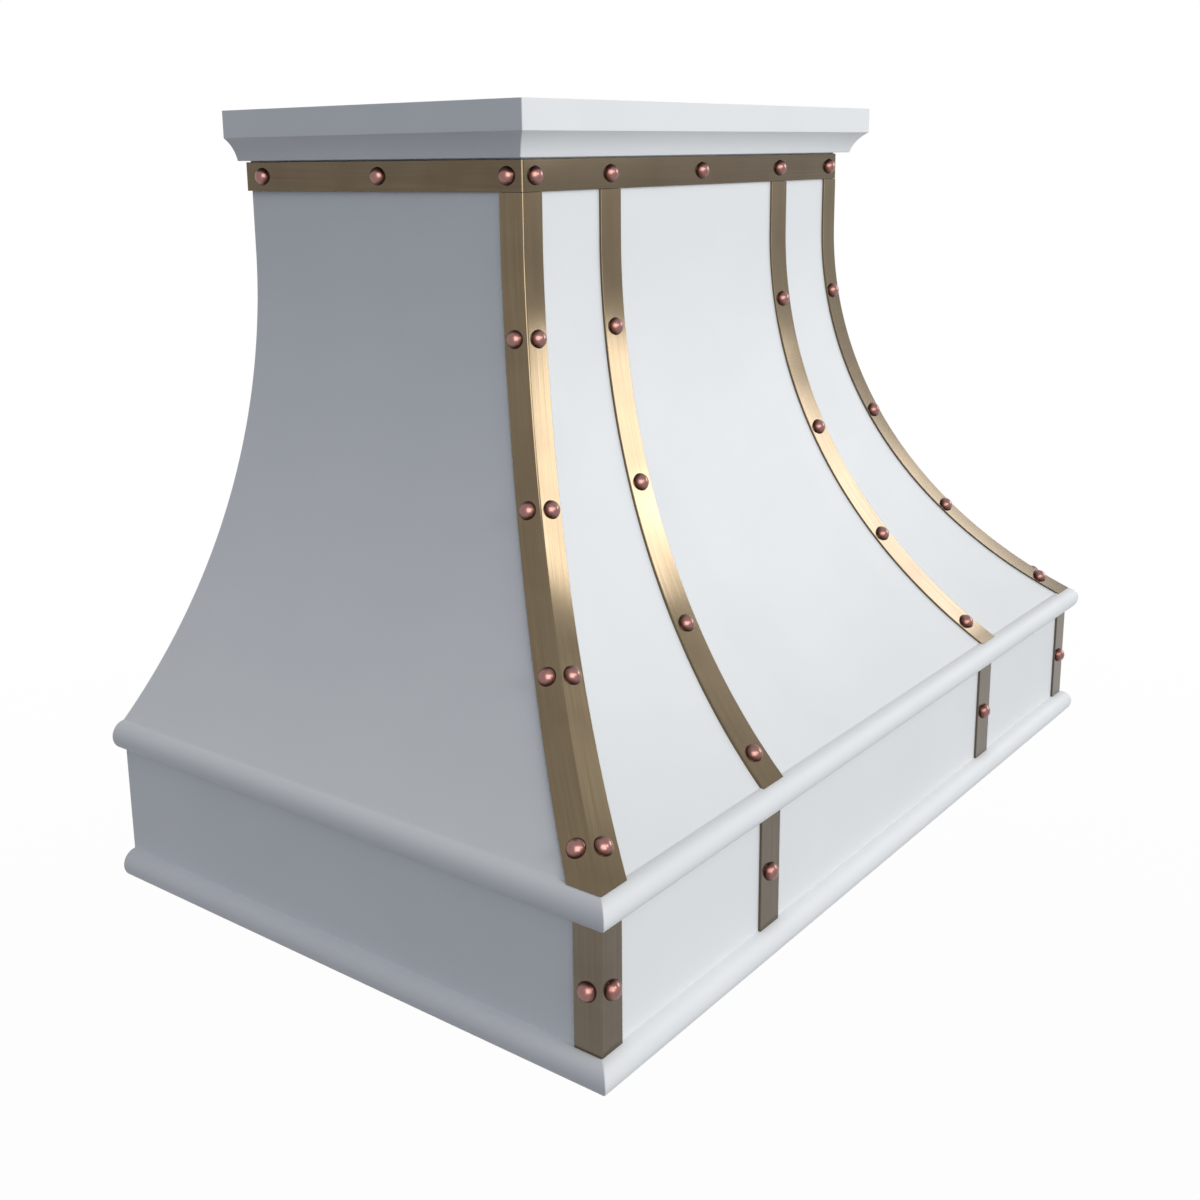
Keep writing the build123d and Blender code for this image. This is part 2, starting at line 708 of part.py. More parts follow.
def lamps_and_controls():
    """Recessed lamps, the control box over the liner, and the two knobs under it."""
    t = thin_sheet
    bodies, lenses = [], []
    flange_z = liner_z - seat_gap
    top = liner_z + lamp_height
    for x in lamp_x:
        body = rod(lamp_radius, (x, strip_y, flange_z - t), (0, 0, 1), top - flange_z + t)
        body += rod(lamp_flange, (x, strip_y, flange_z - t), (0, 0, 1), t)
        body -= rod(lamp_radius - 2 * t, (x, strip_y, flange_z - 2 * t), (0, 0, 1), top - flange_z)
        bodies.append(body)
        lens_radius = lamp_radius - 2 * t - seat_gap
        lenses.append(rod(lens_radius, (x, strip_y, flange_z - t / 2), (0, 0, 1), 2 * t))
    save("lamp_bodies", Compound(bodies))
    save("lamp_lenses", Compound(lenses))

    width, depth, height = control_box_size
    box_z = liner_z + t + seat_gap
    box = block(-width / 2, width / 2, strip_y - depth / 2, strip_y + depth / 2,
                box_z, box_z + height)
    box -= block(t - width / 2, width / 2 - t, strip_y - depth / 2 + t, strip_y + depth / 2 - t,
                 box_z + knob_socket, box_z + height - t)
    for x in (-knob_x, knob_x):
        box -= rod(knob_shaft + running_gap, (x, strip_y, box_z - over_cut), (0, 0, 1),
                   knob_socket + 2 * over_cut)
    save("control_box", box)
    for name, x in (("fan_knob", -knob_x), ("light_knob", knob_x)):
        face_z = liner_z - seat_gap - knob_height
        knob = Cone(knob_radius - knob_taper, knob_radius, knob_height,
                    align=(Align.CENTER, Align.CENTER, Align.MIN))
        knob = Pos(x, strip_y, face_z) * chamfer(knob.edges().group_by(Axis.Z)[0], knob_edge)
        notch = block(x - knob_notch / 2, x + knob_notch / 2, strip_y - knob_radius,
                      strip_y - knob_radius / 2, face_z - over_cut, face_z + knob_notch / 2)
        shaft = rod(knob_shaft, (x, strip_y, face_z + knob_height), (0, 0, 1),
                    box_z + knob_socket - liner_z)
        save(name, knob - notch + shaft)


def plenum():
    """Sheet housing over the filters, with the taller box that holds the blower."""
    t = thin_sheet
    half = opening_half + t
    front_y, back_y = opening_front_y - t, opening_back_y + t
    low = block(-half, half, front_y, back_y, liner_neck_z, plenum_top_z)
    box_front = wheel_y - scroll_radius - blower_box_gap
    box_back = blower_back_y
    tall = block(-blower_box_half, blower_box_half, box_front, box_back, liner_neck_z, outlet_z)
    inside = block(t - half, half - t, front_y + t, back_y - t,
                   liner_neck_z - over_cut, plenum_top_z - t)
    inside += block(t - blower_box_half, blower_box_half - t, box_front + t, box_back - t,
                    plenum_top_z - 2 * t, outlet_z - t)
    housing = low + tall - inside
    outlet_front, outlet_back = outlet_walls(0)
    housing -= block(-scroll_half - t, scroll_half + t, outlet_front - t, outlet_back + t,
                     outlet_z - 2 * t, outlet_z + over_cut)
    save("plenum_housing", housing)


def outlet_walls(inset):
    """Front and back of the scroll's outlet, in depth."""
    front = wheel_y + scroll_throat + inset
    back = wheel_y + scroll_reach - inset
    return front, back


def scroll_outline(inset):
    """Spiral of three quarter turns, each on a larger radius, that opens into the outlet above."""
    r1 = scroll_radius - inset
    r2, r3 = r1 + scroll_growth, r1 + 2 * scroll_growth
    s = scroll_growth
    front, back = outlet_walls(inset)
    front, back = front - wheel_y, back - wheel_y
    top = outlet_rise + inset
    q = sqrt(0.5)
    outline = Polyline((0, r1), (front, r1), (front, top), (back, top), (back, s))
    outline += ThreePointArc((0, r1), (-r1 * q, r1 * q), (-r1, 0))
    outline += ThreePointArc((-r1, 0), (s - r2 * q, -r2 * q), (s, -r2))
    outline += ThreePointArc((s, -r2), (s + r3 * q, s - r3 * q), (s + r3, s))
    return make_face(outline)


def blower():
    """Scroll with two inlets, cage wheel on the motor shaft, motor and its bracket."""
    t = thin_sheet
    centre = (0, wheel_y, scroll_centre_z)
    view = Plane(origin=centre, x_dir=(0, 1, 0), z_dir=(1, 0, 0))
    scroll = extrude(view * scroll_outline(0), scroll_half + t, both=True)
    scroll -= extrude(view * scroll_outline(t), scroll_half, both=True)
    reach = scroll_half + 2 * t
    scroll -= rod(inlet_radius, (-reach, wheel_y, scroll_centre_z), (1, 0, 0), 2 * reach)
    save("blower_scroll", scroll)

    axis_x = Plane(origin=(-wheel_half, wheel_y, scroll_centre_z), x_dir=(0, 1, 0), z_dir=(1, 0, 0))
    ring = Circle(wheel_radius) - Circle(wheel_inner)
    far_ring = axis_x.offset(2 * wheel_half - 2 * t) * ring
    wheel = extrude(axis_x * ring, 2 * t) + extrude(far_ring, 2 * t)
    hub_plane = axis_x.offset(wheel_half - t)
    hub_size = 3 * motor_shaft_radius
    wheel += extrude(hub_plane * Circle(wheel_radius), 2 * t)
    wheel += extrude(hub_plane * Circle(hub_size), hub_size)
    blade = Pos(wheel_inner + blade_depth / 2, 0) * Rot(0, 0, blade_angle) * Rectangle(blade_depth, t)
    for i in range(blade_count):
        wheel += extrude(axis_x * (Rot(0, 0, 360 * i / blade_count) * blade), 2 * wheel_half)
    wheel -= rod(motor_shaft_radius, (-wheel_half, wheel_y, scroll_centre_z), (1, 0, 0), 2 * wheel_half)
    save("impeller", wheel)

    plate_x = -scroll_half - t - seat_gap
    tail_x = plate_x + motor_post
    nose_x = tail_x + motor_length
    bore_depth = motor_length / 2
    shaft = rod(motor_shaft_radius, (nose_x - bore_depth, wheel_y, scroll_centre_z), (1, 0, 0),
                hub_size + bore_depth - nose_x)
    save("motor_shaft", shaft)
    motor = rod(motor_radius, (tail_x, wheel_y, scroll_centre_z), (1, 0, 0), motor_length)
    motor = fillet(motor.edges().filter_by(GeomType.CIRCLE), motor_edge)
    bore_start = (nose_x - bore_depth - over_cut, wheel_y, scroll_centre_z)
    motor -= rod(motor_shaft_radius + running_gap, bore_start, (1, 0, 0), bore_depth + 2 * over_cut)
    save("motor", motor)

    band_plane = Plane(origin=(plate_x, wheel_y, scroll_centre_z), x_dir=(0, 1, 0), z_dir=(-1, 0, 0))
    arm_length = inlet_radius + bracket_overlap
    arm = Pos(arm_length / 2, 0) * Rectangle(arm_length, bracket_arm)
    bracket = extrude(band_plane * Circle(motor_radius - motor_edge), 2 * t)
    for i in range(3):
        bracket += extrude(band_plane * (Rot(0, 0, 120 * i + bracket_turn) * arm), 2 * t)
    bracket += rod(motor_radius / 2, (plate_x, wheel_y, scroll_centre_z), (1, 0, 0), motor_post)
    save("motor_bracket", bracket)


def exhaust():
    """Duct from the blower to the top, duct collar, and the two damper flaps on their pin."""
    t = duct_sheet
    front, back = outlet_walls(0)
    depth, middle = back - front, (front + back) / 2
    shapes = []
    for inset in (0, t):
        foot = Pos(0, middle, outlet_z) * Rectangle(2 * (scroll_half - inset), depth - 2 * inset)
        head = Pos(0, duct_y, duct_foot_z) * Circle(duct_radius - inset)
        top = neck_top_z if inset == 0 else neck_top_z + over_cut
        riser = rod(duct_radius - inset, (0, duct_y, duct_foot_z), (0, 0, 1), top - duct_foot_z)
        shapes.append(loft([foot, head]) + riser)
    save("exhaust_duct", shapes[0] - shapes[1])

    collar_in = duct_radius + seat_gap
    foot_z = neck_top_z - collar_overlap
    flange_z = neck_top_z + sheet
    collar = tube(collar_radius, collar_in, (0, duct_y, foot_z), (0, 0, 1), collar_top_z - foot_z)
    collar += tube(bead_radius, collar_in, (0, duct_y, flange_z + thin_sheet - collar_bead_height),
                   (0, 0, 1), collar_bead_height)
    flange = tube(collar_flange, bead_radius + running_gap, (0, duct_y, flange_z), (0, 0, 1),
                  thin_sheet)
    stop_z = damper_z - knuckle_radius - damper_plate - seat_gap
    collar += tube(collar_in, collar_in - damper_stop, (0, duct_y, stop_z - thin_sheet), (0, 0, 1),
                   thin_sheet)
    collar -= rod(damper_pin_radius + running_gap, (-bead_radius, duct_y, damper_z), (1, 0, 0),
                  2 * bead_radius)
    save("duct_collar", Compound([collar, flange]))
    save("damper_pin", rod(damper_pin_radius, (-collar_radius, duct_y, damper_z), (1, 0, 0),
                           2 * collar_radius))

    for name, side, offset in (("damper_flap_front", -1, 0), ("damper_flap_rear", 1, 1)):
        plate_z = damper_z - knuckle_radius
        disc = rod(collar_in - damper_edge_gap, (0, duct_y, plate_z), (0, 0, 1), damper_plate)
        edge = duct_y + side * (knuckle_radius + damper_edge_gap)
        flap = disc & block(-duct_radius, duct_radius, edge, edge + side * duct_radius,
                            plate_z - over_cut, damper_z)
        for i in range(2):
            x = (i - 0.5) * 4 * knuckle_length + (offset - 0.5) * 2 * knuckle_length
            x0, x1 = x - knuckle_length / 2, x + knuckle_length / 2
            flap += block(x0, x1, duct_y, edge, plate_z, plate_z + damper_plate)
            flap += rod(knuckle_radius, (x0, duct_y, damper_z), (1, 0, 0), knuckle_length)
            flap -= rod(damper_pin_radius + running_gap, (x0 - over_cut, duct_y, damper_z), (1, 0, 0),
                        knuckle_length + 2 * over_cut)
        save(name, flap)


def wiring():
    """Junction box under the top plate, grommet, and the leads to the motor, controls and lamps."""
    width, depth, height = junction_size
    top = neck_top_z - seat_gap
    t = thin_sheet
    x0, x1 = junction_x - width / 2, junction_x + width / 2
    y0, y1 = duct_y - depth / 2, duct_y + depth / 2
    box = block(x0, x1, y0, y1, top - height, top)
    box -= block(x0 + t, x1 - t, y0 + t, y1 - t, top - height + t, top - t)
    box -= rod(grommet_radius + shank_gap, (junction_x, duct_y, top - 2 * t), (0, 0, 1), 4 * t)
    lead_x = (junction_x - lead_spread, junction_x + lead_spread)
    for x in lead_x:
        box -= rod(lead_radius + shank_gap, (x, duct_y, top - height - over_cut), (0, 0, 1),
                   t + 2 * over_cut)
    save("junction_box", box)

    lip, thick = grommet_radius + grommet_lip, grommet_lip_thickness
    under, over = top - t - seat_gap, neck_top_z + sheet + seat_gap
    grommet = rod(lip, (junction_x, duct_y, under - thick), (0, 0, 1), thick)
    grommet += rod(grommet_radius, (junction_x, duct_y, under), (0, 0, 1), over - under)
    grommet += rod(lip, (junction_x, duct_y, over), (0, 0, 1), thick)
    grommet -= rod(grommet_hole, (junction_x, duct_y, under - 2 * thick), (0, 0, 1),
                   over - under + 4 * thick)
    save("cable_grommet", grommet)

    start_z = top - height + 2 * t
    turn_z = plenum_top_z + lead_clearance
    box_top = liner_z + t + seat_gap + control_box_size[2] + shank_gap
    motor_side = blower_box_half + shank_gap
    motor_run = FilletPolyline((lead_x[0], duct_y, start_z), (lead_x[0], duct_y, lead_entry_z),
                               (motor_side, duct_y, lead_entry_z), radius=lead_bend)
    control_run = FilletPolyline((lead_x[1], duct_y, start_z), (lead_x[1], duct_y, turn_z),
                                 (lead_x[1], strip_y, turn_z), (knob_x, strip_y, turn_z),
                                 (knob_x, strip_y, box_top), radius=lead_bend)
    leads = []
    for path in (motor_run, control_run):
        section = Plane(origin=path @ 0, z_dir=path % 0) * Circle(lead_radius)
        leads.append(sweep(section, path=path))
    lamp_z = liner_z + lamp_height / 2 + 2 * t
    stops = [control_box_size[0] / 2] + [x for x in lamp_x if x > 0]
    for side in (-1, 1):
        for i, x in enumerate(stops[:-1]):
            begin = x + shank_gap if i == 0 else x + lamp_radius + shank_gap
            end = stops[i + 1] - lamp_radius - shank_gap
            leads.append(rod(lamp_lead_radius, (side * begin, strip_y, lamp_z), (side, 0, 0),
                             end - begin))
    save("internal_wiring", Compound(leads))


def screws():
    """Pan-head screws: back panel to its flanges, liner lip to the apron, collar to the top plate."""
    placed = []
    low, high = upper_rail_top + flange_screw_end, neck_top_z - flange_screw_end
    step = (high - low) / (flange_screw_count - 1)
    flange_levels = [low + i * step for i in range(flange_screw_count)]
    liner_x = inner_half - liner_gap - thin_sheet
    for side in (-1, 1):
        for z in apron_screw_levels:
            placed.append(screw((side * (inner_half - screw_inset), -2 * sheet, z), (0, -1, 0)))
        for z in flange_levels:
            x = side_flare.reach(z) - sheet - screw_inset
            placed.append(screw((side * x, -2 * sheet, z), (0, -1, 0)))
        for y in liner_screw_y:
            placed.append(screw((side * liner_x, y, liner_z + liner_screw_rise), (-side, 0, 0)))
    reach = (collar_flange + bead_radius) / 2
    for i in range(collar_screw_count):
        angle = radians(360 * (i + 0.5) / collar_screw_count)
        seat = (reach * cos(angle), duct_y + reach * sin(angle), neck_top_z + sheet + thin_sheet)
        placed.append(screw(seat, (0, 0, 1)))
    save("panel_screws", Compound(placed))


def screw(seat, direction):
    """Pan head that stands on its seat; the thread below it is left to the tapped sheet."""
    head = Cone(screw_head, screw_head * screw_crown, screw_height,
                align=(Align.CENTER, Align.CENTER, Align.MIN))
    length, width, depth = screw_recess
    recess = Box(length, width, 2 * depth) + Box(width, length, 2 * depth)
    head -= Pos(0, 0, screw_height) * recess
    return Plane(origin=seat, z_dir=direction).location * head


def main():
    os.makedirs("parts", exist_ok=True)
    sites = rivet_sites()
    body_panels(sites)
    apron_panels(sites)
    rails()
    crown()
    top_and_back()
    brass_trim(sites)
    rivets(sites)
    liner()
    filters()
    lamps_and_controls()
    plenum()
    blower()
    exhaust()
    wiring()
    screws()


main()
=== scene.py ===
import json
from math import asin, atan2, cos, pi, radians, sin, sqrt, tan

import bmesh
import bpy
from mathutils import Matrix, Vector

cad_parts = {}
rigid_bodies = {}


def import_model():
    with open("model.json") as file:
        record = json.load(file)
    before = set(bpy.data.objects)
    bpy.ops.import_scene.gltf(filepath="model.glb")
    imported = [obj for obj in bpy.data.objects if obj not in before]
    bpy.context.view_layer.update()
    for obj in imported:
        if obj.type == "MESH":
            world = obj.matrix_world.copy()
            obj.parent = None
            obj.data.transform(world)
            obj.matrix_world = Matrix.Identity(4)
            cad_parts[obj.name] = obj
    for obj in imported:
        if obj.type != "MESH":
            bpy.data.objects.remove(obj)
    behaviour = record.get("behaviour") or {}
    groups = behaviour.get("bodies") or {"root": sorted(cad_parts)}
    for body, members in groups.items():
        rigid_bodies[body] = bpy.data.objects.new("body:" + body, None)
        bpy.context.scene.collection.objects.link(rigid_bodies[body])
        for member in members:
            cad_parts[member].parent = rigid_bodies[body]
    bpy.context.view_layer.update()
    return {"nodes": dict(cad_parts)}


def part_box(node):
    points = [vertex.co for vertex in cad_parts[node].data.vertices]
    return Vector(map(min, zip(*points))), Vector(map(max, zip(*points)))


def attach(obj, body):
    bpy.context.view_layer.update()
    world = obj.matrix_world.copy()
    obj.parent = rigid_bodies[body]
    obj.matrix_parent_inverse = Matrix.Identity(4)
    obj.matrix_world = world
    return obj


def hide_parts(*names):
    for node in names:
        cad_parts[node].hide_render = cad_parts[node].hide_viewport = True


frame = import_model()

# Wall-mounted range hood. X runs to the hood's right, the wall is on the +Y side, Z points up and
# lengths are in metres. A depth is measured out from the wall, so its y is WALL_Y - depth.
MM = 0.001

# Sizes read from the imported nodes
RAIL_LOW, RAIL_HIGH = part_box("lower_rail_front")
PANEL_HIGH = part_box("front_panel")[1]
CROWN_LOW, CROWN_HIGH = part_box("crown_right")
BAND_LOW, BAND_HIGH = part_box("top_band")
STRAP_LOW, STRAP_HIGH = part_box("face_strap_right")
APRON_STRAP_LOW, APRON_STRAP_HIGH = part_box("apron_strap_right")
WALL_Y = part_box("right_panel")[1].y
RAIL_RADIUS = (RAIL_HIGH.z - RAIL_LOW.z) / 2
APRON_HALF = RAIL_HIGH.x - RAIL_RADIUS
APRON_DEPTH = WALL_Y - RAIL_LOW.y - RAIL_RADIUS
RAIL_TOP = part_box("upper_rail_front")[1].z
STRAP_WIDTH = APRON_STRAP_HIGH.x - APRON_STRAP_LOW.x
STRAP_THICKNESS = APRON_STRAP_HIGH.y - APRON_STRAP_LOW.y
STRAP_FOOT_X = (APRON_STRAP_HIGH.x + APRON_STRAP_LOW.x) / 2

# The hood's two sides, by the sign of their x
SIDES = (("left", -1), ("right", 1))

# Sizes of the shell and the brass that the boxes alone do not give
SHEET = 1.5 * MM
BACK_FLANGE = 22 * MM
BODY_TOP_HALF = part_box("right_panel")[0].x + BACK_FLANGE
BODY_TOP_DEPTH = WALL_Y - PANEL_HIGH.y + SHEET
SIDE_TANGENT_Z = 745 * MM
FRONT_TANGENT_Z = 760 * MM
STRAP_TOP_X = STRAP_LOW.x + STRAP_WIDTH / 2
CORNER_LEG_TOP = 33 * MM
CORNER_LEG_FOOT = 38.5 * MM
APRON_LEG = 33 * MM
BAND_SPLAY = 3.8 * MM
CROWN_FASCIA = 32.4 * MM
COVE_RUN = 19.5 * MM
COVE_SAG = 3.2 * MM

# Rivets, as they are set in the straps
RIVET_RADIUS = 10.5 * MM
RIVET_HEIGHT = 8.5 * MM
RIVET_LIFT = 0.15 * MM
SHANK_RADIUS = 2.4 * MM
TAIL_RADIUS = 4.5 * MM
TAIL_THICKNESS = 1.5 * MM
RIVET_FROM_CORNER = 18.5 * MM
APRON_RIVET_FROM_CORNER = 17.5 * MM
APRON_RIVET_Z = 99 * MM
STRAP_RIVET_SHARES = (0.253, 0.537, 0.774, 0.962)
BAND_RIVET_BACK = 28 * MM
BAND_RIVET_MID = 224 * MM

# Small radii that catch the light
SHEET_EDGE = 0.4 * MM
BAR_EDGE = 0.6 * MM
STRAP_BEND = 2.0 * MM
MITRE_ROUND = 1.2 * MM
FOLD = 1.0 * MM

# Filters
FILTER_THICKNESS = 22 * MM
FRAME_LIP = 16 * MM
FRAME_SHEET = 1.0 * MM
BAFFLE_WIDTH = 26 * MM
BAFFLE_HEIGHT = 9 * MM
BAFFLE_SHEET = 0.8 * MM
BAFFLE_COUNT = 8
BAFFLE_BEND = 2.0 * MM
MITRE_GAP = 0.15 * MM
EAR_THICKNESS = 2.0 * MM
EAR_HEIGHT = 10 * MM
EAR_GAP = 0.3 * MM
BAIL_WIRE = 3.0 * MM
BAIL_BEND = 4.5 * MM
EAR_ROUND = 0.9 * BAIL_WIRE

# Lamps, with the profiles of their turned edges as (out, up) in millimetres
LAMP_INNER_X = 210 * MM
LAMP_RADIUS = 33 * MM
LAMP_WALL = 2.4 * MM
LAMP_FLANGE = 1.2 * MM
LAMP_EASE = 0.2 * MM
LAMP_RIM_EDGE = ((0, 0.7), (-0.3, 0.35), (-1.5, 0))
LAMP_MOUTH_EDGE = ((2.5, 0), (0.6, 0.7), (0, 1.4))
LENS_RINGS = 18
LENS_RIPPLE = 0.18 * MM
LENS_RINGED_SHARE = 0.9
LENS_RECESS = 0.3 * MM
LENS_DOME = 0.7 * MM

# Knobs, with the profiles of their edges as (out, up) in millimetres, past the radius of the face
# and past that of the foot, where up starts at the height. The pointer's levels are up from the face.
KNOB_TAPER = 3.0 * MM
KNOB_HEIGHT = 17 * MM
KNOB_SHAFT = 3.0 * MM
KNOB_DISH = 0.6 * MM
KNOB_FACE_EDGE = ((-4, 0.6), (-3.2, 0), (-1, 0), (-0.3, 0.3), (0, 1.0), (0.2, 2.0))
KNOB_FOOT_EDGE = ((-0.6, -2.5), (-0.2, -1.5), (0, -1.0), (0, -0.2), (-0.2, 0))
KNOB_FLUTES = 36
FLUTE_DEPTH = 0.5 * MM
FLUTE_START = 1.5 * MM
FLUTE_STOP = 2.0 * MM
POINTER_WIDTH = 2.0 * MM
POINTER_ROUND = 0.9 * MM
POINTER_FROM_EDGE = 1.5 * MM
POINTER_FACE = 0.1 * MM
POINTER_ROOT = 1.0 * MM

# Grease cup
CUP_RIM = 4.0 * MM
CUP_RIM_SHEET = 1.0 * MM
CUP_RIM_CORNER = 1.0 * MM
CUP_LIP = 1.0 * MM
CUP_SHEET = 1.2 * MM
CUP_CORNER = 5.0 * MM
CUP_FOOT_BEND = 2.0 * MM
CUP_FOOT_EASE = 0.6 * MM
CUP_PULL = 24 * MM
CUP_PULL_REACH = 12 * MM
CUP_PULL_CORNER = 4.0 * MM

# Duct collar on top. The flaps' stop lies below their pin by its drop.
COLLAR_WALL = 1.0 * MM
COLLAR_BEAD = 2.0 * MM
COLLAR_BEAD_HALF = 1.5 * MM
COLLAR_ROLL = 0.5 * MM
COLLAR_FLANGE_SHEET = 1.2 * MM
COLLAR_FLANGE_HOLE_GAP = 0.05 * MM
COLLAR_FLANGE_EASE = 0.3 * MM
STOP_WIDTH = 4.0 * MM
STOP_SHEET = 1.2 * MM
STOP_DROP = 5.8 * MM

# How finely the curves are cut, and how close two points are before they count as one
FLARE_ROWS = 90
MITRE_STEPS = 3
RAIL_STEPS = 28
COVE_STEPS = 10
INNER_COVE_STEPS = 8
BAND_BEND_STEPS = 6
DOME_STEPS = 12
RIVET_STEPS = 32
WIRE_STEPS = 16
LAMP_STEPS = 64
BEAD_STEPS = 10
COLLAR_STEPS = 128
SAME_POINT = 0.001 * MM
SAME_SEAM_POINT = 0.01 * MM


class Flare:
    """A line that drops straight from the top, then sweeps outward on one tangent arc."""

    def __init__(self, top, foot, tangent_z):
        self.top = top
        self.tangent_z = tangent_z
        drop = tangent_z - RAIL_TOP
        sweep = foot - top
        self.radius = (drop**2 + sweep**2) / (2 * sweep)

    def reach(self, z, offset=0.0):
        """Distance from the middle at height z, for the line moved outward by offset."""
        drop = max(self.tangent_z - z, 0.0)
        return self.top + self.radius - sqrt((self.radius - offset) ** 2 - drop**2)

    def tilt(self, z, offset=0.0):
        """Angle by which the line moved outward by offset leans out from the vertical."""
        return asin(max(self.tangent_z - z, 0.0) / (self.radius - offset))


side_flare = Flare(BODY_TOP_HALF, APRON_HALF, SIDE_TANGENT_Z)
front_flare = Flare(BODY_TOP_DEPTH, APRON_DEPTH, FRONT_TANGENT_Z)
strap_line = Flare(STRAP_TOP_X, STRAP_FOOT_X, SIDE_TANGENT_Z)


# Materials

def colour(code):
    """Linear RGBA of an sRGB hex colour."""
    shares = [int(code[i:i + 2], 16) / 255 for i in (1, 3, 5)]
    return [s / 12.92 if s <= 0.04045 else ((s + 0.055) / 1.055) ** 2.4 for s in shares] + [1]


def add(tree, kind, inputs=None, **settings):
    """Add a shader node with its settings. An input is a plain value, an output to link or a node,
    which stands for its first output. Inputs that share a name go by number: in a mix 0 is the
    share, 2 and 3 are numbers and 6 and 7 are colours, and a map range takes 1 and 2 to 3 and 4."""
    node = tree.nodes.new("ShaderNode" + kind)
    for name, value in settings.items():
        setattr(node, name, value)
    for key, value in (inputs or {}).items():
        if isinstance(value, bpy.types.Node):
            value = value.outputs[0]
        if isinstance(value, bpy.types.NodeSocket):
            tree.links.new(value, node.inputs[key])
        else:
            node.inputs[key].default_value = value
    return node


def new_material(name):
    """An empty node material, as (material, tree)."""
    material = bpy.data.materials.new(name)
    material.use_nodes = True
    material.node_tree.nodes.clear()
    return material, material.node_tree


def textured_surface(tree, tint, gloss, relief, strength, depth, more):
    """End a material in one surface shader that stands up, by up to depth, where relief is high."""
    bump = add(tree, "Bump", {"Strength": strength, "Distance": depth, "Height": relief})
    shader = add(tree, "BsdfPrincipled", {"Base Color": tint, "Roughness": gloss, "Normal": bump,
                                          **more})
    add(tree, "OutputMaterial", {"Surface": shader})


def polyester_powder_coat():
    """Satin white polyester powder coat, stoved on steel: even colour, a soft sheen and the
    faint orange peel that the powder leaves as it melts."""
    material, tree = new_material("polyester_powder_coat")
    place = add(tree, "TexCoord").outputs["Object"]
    # Peel of 2.5 mm and slow changes of film thickness over about 120 mm
    peel = add(tree, "TexNoise", {"Vector": place, "Scale": 1 / (2.5 * MM), "Detail": 2.0})
    film = add(tree, "TexNoise", {"Vector": place, "Scale": 1 / (120 * MM), "Detail": 3.0})
    tint = add(tree, "Mix", {0: film, 6: colour("#EDF0F2"), 7: colour("#E8EBEE")}, data_type="RGBA")
    gloss = add(tree, "MapRange", {0: film, 3: 0.50, 4: 0.60})
    textured_surface(tree, tint.outputs[2], gloss, peel, 0.25, 0.05 * MM, {"IOR": 1.5})
    return material


def brushed_antique_brass(name, light, dark, aged_tone):
    """Brass darkened to a warm brown, brushed along its length and waxed: fine lines run with
    the bar, and the brown gathers in soft clouds."""
    material, tree = new_material(name)
    place = add(tree, "TexCoord")
    # Brush lines of about 0.9 mm, drawn coarser than the real ones so that they show
    fine = add(tree, "Mapping", {"Vector": place.outputs["UV"],
                                 "Scale": (1 / (0.9 * MM), 1 / (160 * MM), 1)})
    lines = add(tree, "TexNoise", {"Vector": fine, "Scale": 1.0, "Detail": 3.0})
    broad = add(tree, "Mapping", {"Vector": place.outputs["UV"],
                                  "Scale": (1 / (9 * MM), 1 / (420 * MM), 1)})
    bands = add(tree, "TexNoise", {"Vector": broad, "Scale": 1.0, "Detail": 2.0})
    cloud = add(tree, "TexNoise", {"Vector": place.outputs["Object"], "Scale": 1 / (70 * MM),
                                   "Detail": 4.0})
    streaks = add(tree, "Mix", {0: 0.25, 2: lines, 3: bands})
    spread = add(tree, "MapRange", {0: streaks, 1: 0.36, 2: 0.64})
    metal = add(tree, "Mix", {0: spread, 6: colour(dark), 7: colour(light)}, data_type="RGBA")
    age = add(tree, "MapRange", {0: cloud, 1: 0.45, 2: 0.75, 4: 0.45})
    aged = add(tree, "Mix", {0: age, 6: metal.outputs[2], 7: colour(aged_tone)}, data_type="RGBA")
    gloss = add(tree, "MapRange", {0: spread, 3: 0.15, 4: 0.12})
    textured_surface(tree, aged.outputs[2], gloss, lines, 0.12, 0.02 * MM, {"Metallic": 1.0})
    return material


def satin_copper():
    """Copper rivet heads, hammered up, tumbled and waxed: a soft rose sheen, with painted shade and a
    painted dark reflection of the strap that turn it to maroon round the foot."""
    material, tree = new_material("satin_copper")
    place = add(tree, "TexCoord")
    radius = add(tree, "VectorMath", {0: place.outputs["UV"]}, operation="LENGTH")
    # Painted shade and painted reflection of the dark strap: the head turns maroon over the outer 30 %
    # of its radius
    painted_foot_shade = add(tree, "MapRange", {0: radius.outputs["Value"], 1: 0.70 * RIVET_RADIUS,
                                    2: RIVET_RADIUS})
    # Tumbling marks of 1.2 mm, drawn coarser than the real ones so that they show
    marks = add(tree, "TexNoise", {"Vector": place.outputs["Object"], "Scale": 1 / (1.2 * MM),
                                   "Detail": 3.0})
    rose = add(tree, "Mix", {0: marks, 6: colour("#84605A"), 7: colour("#95706A")}, data_type="RGBA")
    tint = add(tree, "Mix", {0: painted_foot_shade, 6: rose.outputs[2], 7: colour("#55352F")}, data_type="RGBA")
    gloss = add(tree, "MapRange", {0: marks, 3: 0.26, 4: 0.34})
    textured_surface(tree, tint.outputs[2], gloss, marks, 0.25, 0.05 * MM, {"Metallic": 1.0})
    return material


